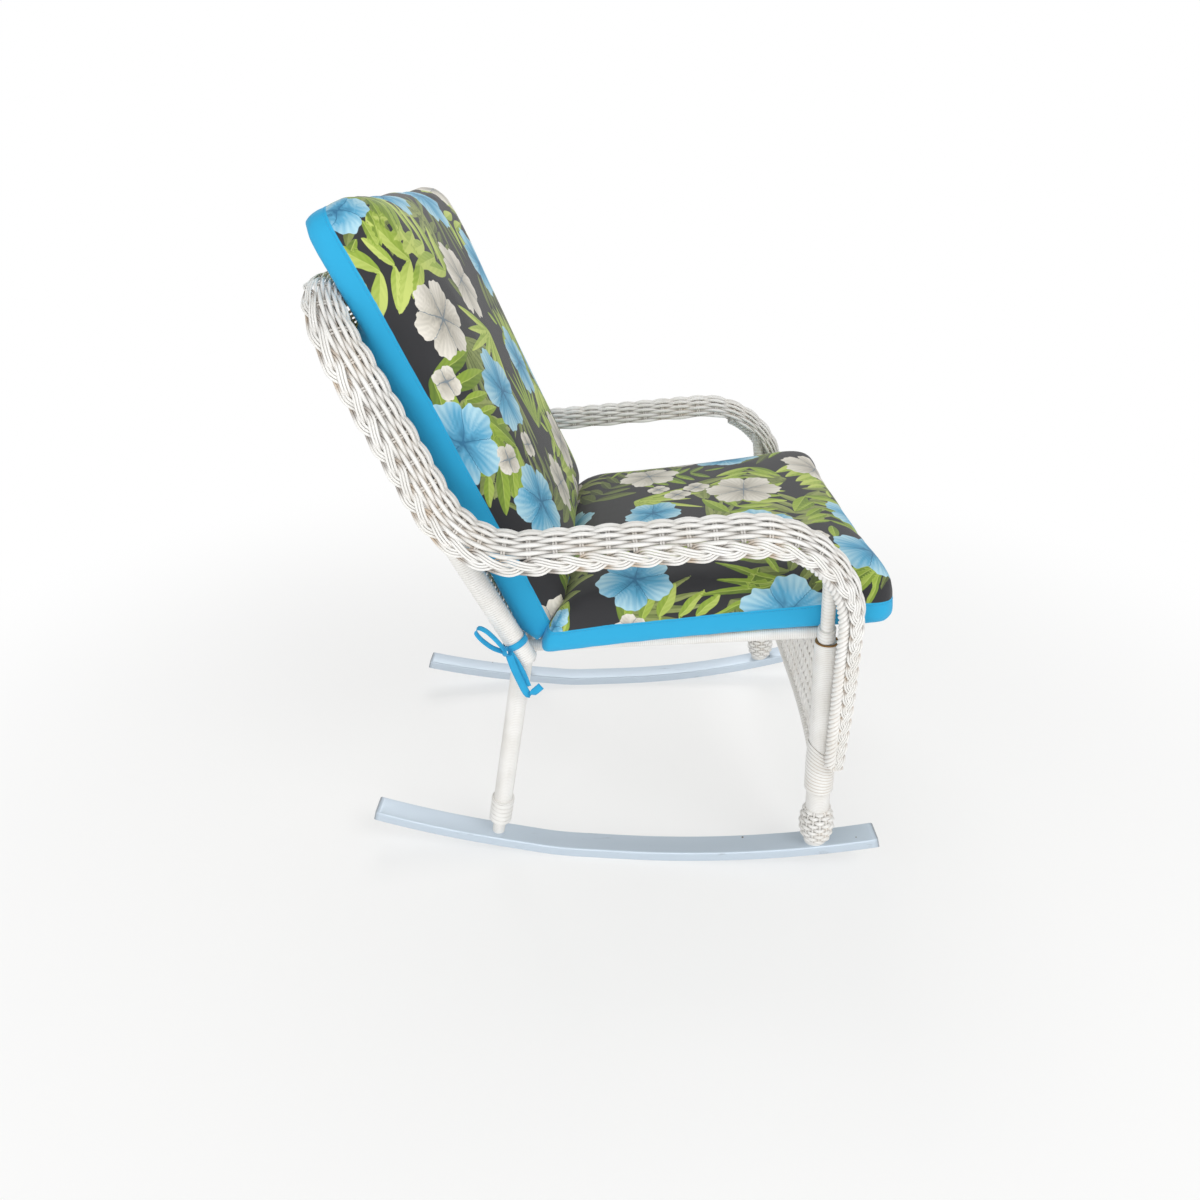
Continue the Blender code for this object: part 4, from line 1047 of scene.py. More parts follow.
@dataclass
class Chain:
    """The path that the rolled border follows, over both arms and the back's top, with its frame and size."""

    end: tuple[float, float, float] = (0.309, 0.311, 0.206)
    front: tuple[float, float, float] = (0.318, 0.300, 0.592)
    rear: tuple[float, float, float] = (0.316, -0.208, 0.545)
    top: tuple[float, float, float] = (0.281, -0.370, 0.860)
    bends: tuple[float, float, float] = (0.140, 0.120, 0.085)
    turned_out: float = 0.2049
    end_scale: float = 0.24
    top_scale: float = 0.65
    lean: float = 0.004
    drop: float = 0.0075

    def __post_init__(self) -> None:
        """Works out points, directions and sizes at every 2 mm."""
        half = [place(1, *spot) for spot in (self.end, self.front, self.rear, self.top)]
        corners = half + [corner * MIRROR for corner in reversed(half)]
        self.points = even(rounded(corners, [*self.bends, *reversed(self.bends)]), 0.002)
        self.outward, self.normal = carried(self.points, RIGHT)
        steps = np.linalg.norm(np.diff(self.points, axis=0), axis=1)
        self.run = np.concatenate(([0], np.cumsum(steps)))
        self.length = float(self.run[-1])
        ends = np.minimum(self.run, self.length - self.run)
        forward = SHIFT - self.points[:, 1]
        full = ends[np.argmax(forward < self.front[1] - self.bends[0])]
        turned = ends[np.argmax(self.points[:, 0] < self.turned_out)]
        start = turned - self.bends[2] * math.pi / 2
        grown = np.minimum(1.0, self.end_scale + (1 - self.end_scale) * ends / full)
        self.scale = grown - (1 - self.top_scale) * np.clip((ends - start) / (turned - start), 0, 1)

    def spot(self, run: ndarray, out: ndarray, up: ndarray) -> ndarray:
        """Points at lengths along the path, moved outward and along the normal."""
        point, outward, normal = (between(run, self.run, rows) for rows in (self.points, self.outward, self.normal))
        return point + outward * np.reshape(out, (-1, 1)) + normal * np.reshape(up, (-1, 1))

    def size(self, run: float | ndarray) -> float | ndarray:
        """Scale of the section at lengths along the path."""
        return np.interp(run, self.run, self.scale)


@dataclass
class Border:
    """The rolled border: rows of reed over paired stakes, a plait on its edge, poles inside and a twisted column."""

    chain: Chain = field(default_factory=Chain)
    radius: float = 0.0283
    reed: float = 0.0024
    reed_step: float = 0.0056
    reed_swell: float = 0.30
    wave: float = 0.0024
    thin: float = 0.55
    tuck: float = 0.004
    tuck_long: float = 0.012
    stake: float = 0.0016
    stake_sunk: float = 0.0008
    stake_apart: float = 1.05
    stakes: int = 42
    rows: int = 17
    first_row: float = 0.105
    row_gap: float = 0.0555
    core_radius: float = 0.011
    core_up: float = 0.025
    core_from: float = 0.62
    core_wrap: tuple[float, float] = (0.006, 0.0006)
    plait_out: float = 0.0272
    plait_down: float = 0.0103
    plait_swing: float = 0.0074
    plait_depth: float = 0.0025
    plait_length: float = 0.105
    plait_step: float = 0.0042
    plait_reed: float = 0.0018
    plait_skew: float = -0.4
    plait_bow: float = 0.12
    plait_tilt: float = 0.10
    plait_spread: float = 2.1
    plait_least: float = 0.62
    plait_turn: float = 0.40
    plait_fade: float = 0.14
    plait_wide: float = 0.72
    plait_thick: float = 0.85
    plait_close: float = 0.066
    plait_front: float = 0.0075
    rope_radius: float = 0.0082
    rope_starts: float = 4.0
    rope_wrap: tuple[float, float] = (0.0078, 0.0026)
    rope_crown: float = 0.8

    def build(self, paint: Material) -> None:
        """Weaves the roll, plaits its edge and puts the poles inside.

        Args:
            paint: Finish of the rattan.
        """
        dressed(self.roll(paint), Slot.RATTAN, "side_roll_left", "side_roll_right", "top_roll")
        dressed(self.plait(paint), Slot.RATTAN, "side_braid_left", "side_braid_right", "top_braid")
        for word, side in SIDES.items():
            dressed(self.core(paint, word, side), Slot.RATTAN, f"arm_core_{word}")
            dressed(self.rope(paint, word, side), Slot.RATTAN)

    def on_roll(self, run: ndarray, angle: ndarray, lift: ndarray) -> ndarray:
        """Points on the roll.

        Args:
            run: Lengths along the path.
            angle: Angles round it, 0 at its outer edge.
            lift: Lifts off the skin.

        Returns:
            The points.
        """
        scale = self.chain.size(run)
        reach = self.radius * scale + lift
        out = reach * np.cos(angle) - self.chain.lean * scale
        return self.chain.spot(run, out, reach * np.sin(angle) - self.chain.drop * scale)

    def roll(self, paint: Material) -> Object:
        """Reeds in and out of paired stakes. Two reeds of three end where the roll gets thin.

        Args:
            paint: Finish of the rattan.

        Returns:
            The woven piece.
        """
        chain, lines = self.chain, Lines()
        gap = chain.length / 2 / self.stakes
        whole = np.linspace(0.002, chain.length - 0.002, round(chain.length / self.reed_step))
        for row in range(self.rows):
            run = whole[chain.size(whole) > self.thin] if row % 3 else whole
            scale = np.maximum(chain.size(run), self.thin)
            wave = -np.cos(math.pi * (run / gap + row))
            tuck = np.clip(1 - np.minimum(run - run[0], run[-1] - run) / self.tuck_long, 0, 1)
            lift = self.wave * wave * scale - self.tuck * tuck
            angle = np.full(len(run), math.pi * (self.first_row + self.row_gap * row))
            half = self.reed * (1 + self.reed_swell * wave) * scale
            # each reed is painted darker where it goes under the stakes: painted shade
            lines.add(self.on_roll(run, angle, lift), half, (1 - wave) / 2)
        shares = np.linspace(self.first_row - 0.05, 1.0, self.rows * 3)
        for k in range(1, 2 * self.stakes):
            scale = chain.size(k * gap)
            wave = np.cos(math.pi * ((shares - self.first_row) / self.row_gap + k))
            lift = (self.wave * 0.5 * wave - self.stake_sunk) * scale
            for pair in (-1, 1):
                run = np.full(len(shares), k * gap + pair * self.stake * self.stake_apart)
                # stakes, lying under the reeds, are painted darker all along: painted shade
                lines.add(self.on_roll(run, math.pi * shares, lift), self.stake * max(scale, 0.5), 0.72)
        return lines.strands("woven_roll", paint)

    def plait(self, paint: Material) -> Object:
        """Three bundles of three reeds plaited flat along the roll's outer edge, tighter down the front legs.

        Args:
            paint: Finish of the rattan.

        Returns:
            The plait.
        """
        chain, lines = self.chain, Lines()
        run = np.linspace(0.0, chain.length, round(chain.length / self.plait_step))
        scale = chain.size(run)
        ends = np.minimum(run, chain.length - run)
        front = np.clip((self.plait_turn - ends) / self.plait_fade, 0, 1)
        size = np.maximum(scale, self.plait_least)
        thick = size + np.maximum(0, self.plait_thick - size) * front
        size = size + np.maximum(0, self.plait_wide - size) * front
        tight = np.maximum(0, self.plait_turn - 0.1 - ends) * (1 / self.plait_close - 1 / self.plait_length)
        middle = self.plait_front * np.minimum(front, 0.4 + ends / 0.2) - self.plait_down * scale
        for bundle in range(3):
            angle = 2 * math.pi * (ends / self.plait_length - tight + bundle / 3)
            angle = angle + self.plait_skew * np.sin(angle)
            swing = self.plait_swing * (np.sin(angle) - self.plait_bow * np.cos(2 * angle))
            lean = np.arctan(np.gradient(swing, run))
            depth = np.sin(2 * angle)
            for reed in (-1, 0, 1):
                aside = reed * self.plait_reed * self.plait_spread * thick
                along = np.clip(run - aside * np.sin(lean), 0, chain.length)
                up = swing * size + aside * np.cos(lean) + middle
                out = self.plait_out * scale + depth * self.plait_depth * size - self.plait_tilt * (up - middle)
                # reeds are painted darker where they lie deep in the plait: painted shade for the dark crevices
                lines.add(chain.spot(along, out, up), self.plait_reed * thick, np.clip(0.42 - depth * 0.62, 0, 1))
        return lines.strands("flat_plait", paint)

    def core(self, paint: Material, word: str, side: int) -> Object:
        """The bent pole under one arm's crown.

        Args:
            paint: Finish of the rattan.
            word: left or right.
            side: 1 for left, -1 for right.

        Returns:
            The pole.
        """
        chain = self.chain
        run = np.linspace(0, chain.length / 2, 400)
        straight = chain.spot(run, 0 * run, 0 * run)[:, 0] > chain.top[0] - 0.001
        run = run[(chain.size(run) > self.core_from) & straight]
        scale = chain.size(run)
        up = scale * (self.core_up - chain.drop) - GAP - self.core_radius - 0.001
        path = chain.spot(run, -chain.lean * scale, up) * (side, 1, 1)
        return Lines().add(path, self.core_radius).wrapped(f"bent_pole_{word}", paint, *self.core_wrap, sides=16)

    def rope(self, paint: Material, word: str, side: int) -> Object:
        """The twisted column behind the plait where the roll comes down the front leg.

        Args:
            paint: Finish of the rattan.
            word: left or right.
            side: 1 for left, -1 for right.

        Returns:
            The column.
        """
        run = np.linspace(0.01, 0.40, 60)
        scale = self.chain.size(run)
        path = self.chain.spot(run, 0.006 + 0.006 * scale, -0.0085 - 0.008 * scale) * (side, 1, 1)
        return Lines().add(path, self.rope_radius).wrapped(
            f"twisted_column_{word}", paint, *self.rope_wrap, sides=24, starts=side * self.rope_starts,
            crown=self.rope_crown)


@dataclass
class Panels:
    """Woven fillings: the back panel inside its hoop, the seat deck and the front apron."""

    reed: float = 0.0021
    row_gap: float = 0.0058
    stake: float = 0.0023
    stake_gap: float = 0.027
    wave: float = 0.0014
    hoop_radius: float = 0.016
    hoop_out: float = 0.272
    hoop_foot_forward: float = -0.138
    hoop_bend: float = 0.080
    hoop_below: float = 0.012
    hoop_wrap: tuple[float, float] = (0.0034, 0.0007)
    nail_forward: float = -0.2345
    nail_up: float = 0.553
    # (height, radius) of the rings of a nail's head
    nail_head: tuple[tuple[float, float], ...] = (
        (-0.002, 0.0016), (0.0, 0.0024), (0.0006, 0.0022), (0.0010, 0.0015), (0.0012, 0.0005))
    seat_front: float = 0.4181
    seat_slope: float = math.radians(7.1)
    seat_narrows: float = 0.264 - 0.215
    deck: float = 0.008
    front_leg: float = 0.2815
    rear_leg: float = -0.1445
    apron_middle: float = 0.212
    apron_leg: float = 0.166
    apron_curve: float = 3.5
    apron_edge: float = 0.0075
    apron_wrap: tuple[float, float] = (0.0052, 0.0006)
    apron_reeds: int = 33
    binding: float = 0.0035

    def deck_up(self, forward: float) -> float:
        """Height of the deck's top."""
        return self.seat_front + (forward - self.front_leg) * math.tan(self.seat_slope)

    def deck_axes(self) -> tuple[ndarray, ndarray]:
        """The deck's directions: forward along it, and up off it."""
        level = np.array((0, -math.cos(self.seat_slope), math.sin(self.seat_slope)))
        return level, np.array((0, level[2], -level[1]))

    def hoop_leg(self, side: int) -> tuple[ndarray, ndarray]:
        """Foot and corner of one leg of the hoop.

        Args:
            side: 1 for left, -1 for right.

        Returns:
            The foot and the corner.
        """
        chain = Chain()
        lean = math.atan2(chain.rear[1] - chain.top[1], chain.top[2] - chain.rear[2])
        behind = chain.drop * chain.top_scale + self.hoop_radius + 4 * GAP
        forward = chain.top[1] - behind * math.cos(lean) + self.hoop_below * math.sin(lean)
        up = chain.top[2] - behind * math.sin(lean) - self.hoop_below * math.cos(lean)
        foot = place(side, self.hoop_out, self.hoop_foot_forward, self.deck_up(self.rear_leg) + GAP)
        return foot, place(side, self.hoop_out, forward, up)

    def weave(self, name: str, paint: Material, spans: list[tuple], bars: list[tuple], facing: ndarray) -> Object:
        """Reeds over bars: every second reed goes under where its neighbours go over.

        Args:
            name: Name of the piece.
            paint: Its material.
            spans: Start and end of each reed, one after the other.
            bars: Start and end of each bar that the reeds cross.
            facing: The panel's normal.

        Returns:
            The woven piece.
        """
        lines = Lines()
        for i, (start, end) in enumerate(spans):
            length = np.linalg.norm(end - start)
            run = np.linspace(0, length, max(3, round(length / self.stake_gap * 5)))
            wave = np.cos(math.pi * ((run - length / 2) / self.stake_gap + i))
            path = start + np.outer(run / length, end - start) + np.outer(wave * self.wave, facing)
            # reeds are painted a little darker where they cross a bar: painted shade
            lines.add(path, self.reed, np.abs(wave) / 4)
        for start, end in bars:
            # bars, lying under the reeds, are painted darker all along: painted shade
            lines.add(np.linspace(start, end, 8), self.stake, 0.6)
        return lines.strands(name, paint, sides=5)

    def build(self, paint: Material, rust: Material) -> None:
        """Weaves the three fillings and wraps the hoop and the apron's edge.

        Args:
            paint: Finish of the rattan.
            rust: Finish of the nails.
        """
        self.back(paint)
        for word, side in SIDES.items():
            self.nail(word, side, rust)
        self.seat(paint)
        self.apron(paint)

    def back(self, paint: Material) -> None:
        """The bent hoop and the panel inside it.

        Args:
            paint: Finish of the rattan.
        """
        (other_foot, other_crown), (foot, crown) = self.hoop_leg(-1), self.hoop_leg(1)
        path = rounded([other_foot, other_crown, crown, foot], [self.hoop_bend] * 2)
        lines = Lines().add(even(path, 0.01), self.hoop_radius)
        dressed(lines.wrapped("wrapped_hoop", paint, *self.hoop_wrap, sides=14), Slot.RATTAN, "back_hoop")
        rise = unit(crown - foot)
        length = float(np.linalg.norm(crown - foot)) - self.hoop_radius
        bend, half = self.hoop_bend - self.hoop_radius, self.hoop_out - self.hoop_radius
        middle = (other_foot + foot) / 2
        spans, bars = [], []
        for climb in np.arange(0.018, length - 0.002, self.row_gap):
            side = RIGHT * (half - bend + arch(bend, climb - (length - bend)) + 0.002)
            spans.append((middle + rise * climb - side, middle + rise * climb + side))
        for x in np.arange(-9, 10) * self.stake_gap:
            top = length - bend + arch(bend, abs(x) - half + bend)
            bars.append((middle + rise * 0.012 + RIGHT * x, middle + rise * top + RIGHT * x))
        panel = self.weave("woven_back", paint, spans, bars, np.array((0, -rise[2], rise[1])))
        dressed(panel, Slot.RATTAN, "back_panel")

    def nail(self, word: str, side: int, rust: Material) -> None:
        """The nail head in the hoop's outer side, just under the roll."""
        head = place(side, self.hoop_out + self.hoop_radius - 0.0004, self.nail_forward, self.nail_up)
        rings = [head + RIGHT * side * out + circle(14, REAR, UP) * radius for out, radius in self.nail_head]
        dressed(solid(f"nail_head_{word}", np.array(rings), rust), Slot.BOLT)

    def on_deck(self, x: float, forward: float) -> ndarray:
        """A point in the middle of the deck's thickness."""
        return place(1, x, forward, self.deck_up(forward)) - self.deck_axes()[1] * self.deck / 2

    def seat(self, paint: Material) -> None:
        """The deck under the seat pad: reeds across, on bars that run front to back.

        Args:
            paint: Finish of the rattan.
        """
        low, high = (np.array(corner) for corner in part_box("seat_deck"))
        tail, tip, wide = SHIFT - high[1], SHIFT - low[1], high[0]
        narrow = wide - self.seat_narrows * (tip - tail) / (self.front_leg - self.rear_leg)
        spans, bars = [], []
        for forward in np.arange(tail + 0.003, tip - 0.002, self.row_gap):
            reach = narrow + (wide - narrow) * (forward - tail) / (tip - tail)
            spans.append((self.on_deck(-reach, forward), self.on_deck(reach, forward)))
        for x in np.arange(-8, 9) * self.stake_gap:
            start = tail + max(0.0, (abs(x) - narrow) / (wide - narrow)) * (tip - tail)
            bars.append((self.on_deck(x, start), self.on_deck(x, tip)))
        deck = self.weave("woven_deck", paint, spans, bars, self.deck_axes()[1])
        dressed(deck, Slot.RATTAN, "seat_deck")

    def apron(self, paint: Material) -> None:
        """The skirt between the front legs: upright reeds over level bars, and its wrapped lower edge.

        Args:
            paint: Finish of the rattan.
        """
        foot, crown, radius = pole_of("front_leg_left")
        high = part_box("apron_weave")[1][2]
        inset = radius + self.binding + 2 * GAP
        shares, path = np.linspace(-1, 1, 61), []
        for share in shares:
            up = self.apron_middle - (self.apron_middle - self.apron_leg) * abs(share) ** self.apron_curve
            at = at_height(foot, crown, up)
            path.append(((at[0] - inset - self.apron_edge * 0.25) * share, at[1], at[2]))
        path = np.array(path)
        lines = Lines().add(path, self.apron_edge)
        dressed(lines.wrapped("wrapped_apron_edge", paint, *self.apron_wrap, sides=14), Slot.RATTAN, "apron_edge")
        spans, bars = [], []
        top = at_height(foot, crown, high)
        for share in np.arange(-self.apron_reeds, self.apron_reeds + 1) / (self.apron_reeds + 0.4):
            bottom = between(share, shares, path) + UP * self.apron_edge * 0.6
            spans.append((bottom, np.array(((top[0] - inset) * share, top[1], top[2]))))
        for up in np.arange(high - 0.012, self.apron_middle + 0.010, -self.stake_gap):
            at = at_height(foot, crown, up) - RIGHT * inset
            bars.append((at * MIRROR, at))
        weave = self.weave("woven_apron", paint, spans, bars, -REAR)
        dressed(weave, Slot.RATTAN, "apron_weave")


@dataclass
class Garden:
    """The cloth's print: sprays of leaves and round blossoms, laid out from fixed seeds, in millimetres."""

    cell: float = 118.0
    bloom: tuple[float, float] = (46.0, 64.0)
    bud: tuple[float, float] = (17.0, 23.0)
    bud_away: float = 82.0
    blooms_in_cell: float = 0.55
    leaflet: tuple[float, float] = (60.0, 94.0)
    blades: int = 7
    blade_width: float = 12.5
    pairs: int = 5
    stem_back: float = 60.0
    stem_step: float = 26.0
    scatter: float = 0.32
    blade_turn: float = 0.27
    leaflet_turn: float = 0.95
    leaflet_slim: float = 0.29
    cream_share: float = 0.36
    bud_share: float = 0.7

    def heading(self, angle: float) -> ndarray:
        """The direction at an angle on the cloth."""
        return np.array((math.cos(angle), math.sin(angle)))

    def leaves(self, rng: np.random.Generator, box: ndarray, count: int, fan: float) -> list[tuple]:
        """Leaflets of sprays and fans: (base, tip, width, tone) of each.

        Args:
            rng: Source of fixed numbers.
            box: Low and high corners of the cloth.
            count: Number of sprays.
            fan: Share of sprays that are fans of long blades.

        Returns:
            The leaflets.
        """
        made = []
        columns = max(1, round(math.sqrt(count * (box[1, 0] - box[0, 0]) / (box[1, 1] - box[0, 1]))))
        rows = math.ceil(count / columns)
        pitch = (box[1] - box[0]) / (columns, rows)
        for k in range(columns * rows):
            cell = np.array((k % columns, k // columns)) + 0.5 + rng.uniform(-self.scatter, self.scatter, 2)
            root = box[0] + cell * pitch
            heading = rng.uniform(0, 2 * math.pi)
            tone = rng.uniform(0.15, 0.85)
            if rng.uniform() < fan:
                for i in range(self.blades):
                    off = i - self.blades // 2
                    angle = heading + off * self.blade_turn + rng.uniform(-0.05, 0.05)
                    long = rng.uniform(1.1, 1.5) * self.leaflet[1] * (1 - 0.05 * abs(off))
                    tip = root + long * self.heading(angle)
                    made.append((root, tip, self.blade_width, tone + rng.uniform(-0.12, 0.12)))
                continue
            bend = rng.uniform(-0.006, 0.006)
            spot = root - self.stem_back * self.heading(heading)
            for i in range(self.pairs + 1):
                heading += bend * self.stem_step
                spot = spot + self.stem_step * self.heading(heading)
                long = rng.uniform(*self.leaflet) * (1 - 0.09 * i)
                for turn in ((0.0,) if i == self.pairs else (self.leaflet_turn, -self.leaflet_turn)):
                    tip = spot + long * self.heading(heading + turn + rng.uniform(-0.12, 0.12))
                    made.append((spot, tip, long * self.leaflet_slim, tone + rng.uniform(-0.15, 0.15)))
        return made

    def blooms(self, rng: np.random.Generator, box: ndarray, area: float) -> list[tuple]:
        """Blossoms and buds: (centre, radius, petals, 0 for blue or 1 for cream) of each.

        Args:
            rng: Source of fixed numbers.
            box: Low and high corners of the cloth.
            area: The cloth's area in cells.

        Returns:
            The blossoms.
        """
        made = []
        count = area * self.blooms_in_cell
        columns = max(2, round(math.sqrt(count * (box[1, 0] - box[0, 0]) / (box[1, 1] - box[0, 1]))))
        rows = max(2, round(count / columns))
        pitch = (box[1] - box[0]) / (columns, rows)
        for k in range(columns * rows):
            row, column = divmod(k, columns)
            cell = np.array((column + (0.72 if row % 2 else 0.28), row + 0.5)) + rng.uniform(-0.16, 0.16, 2)
            blossom = 1.0 if rng.uniform() < self.cream_share else 0.0
            made.append((box[0] + cell * pitch, rng.uniform(*self.bloom), 6 if blossom else 5, blossom))
            if rng.uniform() < self.bud_share:
                spot = made[-1][0] + self.bud_away * self.heading(rng.uniform(0, 2 * math.pi))
                made.append((spot, rng.uniform(*self.bud), 4, 1.0))
        return made

    def leaf_values(self, flat: ndarray, leaves: list[tuple]) -> tuple[ndarray, ...]:
        """Distance inside the nearest leaf's edge, place across and along it, and its tone, at cloth coordinates.

        Args:
            flat: Cloth coordinates in millimetres.
            leaves: The leaflets.

        Returns:
            Four arrays of values.
        """
        edge, across, share, tone = (np.full(len(flat), start) for start in (-50.0, 50.0, 0.5, 0.5))
        for base, tip, width, shade in leaves:
            long = np.linalg.norm(tip - base)
            along = (tip - base) / long
            run, aside = (flat - base) @ along, (flat - base) @ np.array((-along[1], along[0]))
            near = np.flatnonzero((run > -20) & (run < long + 20) & (np.abs(aside) < width / 2 + 20))
            run, aside = run[near], aside[near]
            part = np.clip(run / long, 0.0, 1.0)
            half = width / 2 * np.sin(math.pi * part ** 0.82) ** 0.8
            depth = half - np.abs(aside) - np.maximum(np.maximum(-run, run - long), 0)
            better = depth > edge[near]
            spots = near[better]
            edge[spots], across[spots], share[spots], tone[spots] = depth[better], aside[better], part[better], shade
        return edge, across, share, tone

    def bloom_values(self, flat: ndarray, blooms: list[tuple]) -> tuple[ndarray, ...]:
        """Distance inside the nearest blossom's edge and from a petal's seam, its tone and its kind.

        Args:
            flat: Cloth coordinates in millimetres.
            blooms: The blossoms.

        Returns:
            Four arrays of values.
        """
        edge, seam, tone, kind = (np.full(len(flat), start) for start in (-50.0, 50.0, 0.5, 0.0))
        for i, (centre, size, petals, blossom) in enumerate(blooms):
            off = flat - centre
            near = np.flatnonzero(np.linalg.norm(off, axis=1) < size + 25)
            off, far = off[near], np.linalg.norm(off[near], axis=1)
            angle = np.arctan2(off[:, 1], off[:, 0]) + i * 0.7
            turn = np.cos(petals * angle / 2)
            lobe = np.abs(turn)
            ruffle = 0.026 * np.sin(angle * petals * 4 + i) + 0.02 * np.sin(angle * petals * 2.5)
            rim = size * (0.70 + 0.30 * lobe ** 0.55 + ruffle)
            better = rim - far > np.maximum(edge[near], -20)
            spots, far, angle, turn, lobe, rim = (part[better] for part in (near, far, angle, turn, lobe, rim))
            share = far / rim
            streak = 0.11 * np.sin(angle * petals * 6 + 3 * share) + 0.10 * np.sin(angle * petals)
            edge[spots] = rim - far
            seam[spots] = turn * far * 2 / petals + np.sign(turn) * 2.4 * share ** 2
            tone[spots] = np.clip(0.12 + 0.85 * share ** 0.8 + streak - 0.25 * (1 - lobe), 0, 1)
            kind[spots] = blossom
        return edge, seam, tone, kind

    def paint(self, flat: ndarray, seed: int) -> dict[str, ndarray]:
        """Print values at cloth coordinates.

        Args:
            flat: Cloth coordinates in millimetres.
            seed: Seed of this cloth's layout.

        Returns:
            Attribute name to values: distance inside each layer's edge, place on its leaf or petal, and its tone.
        """
        rng = np.random.default_rng(seed)
        box = np.array((flat.min(axis=0), flat.max(axis=0)))
        area = np.prod(box[1] - box[0]) / self.cell ** 2
        values = {}
        for layer, share, fan in (("low", 0.55, 0.5), ("high", 0.62, 0.2)):
            found = self.leaf_values(flat, self.leaves(rng, box, max(1, round(area * share)), fan))
            values |= zip((f"{layer}_{key}" for key in ("edge", "side", "part", "shade")), found)
        found = self.bloom_values(flat, self.blooms(rng, box, area))
        return values | dict(zip(("bloom_edge", "bloom_seam", "bloom_tone", "bloom_kind"), found))


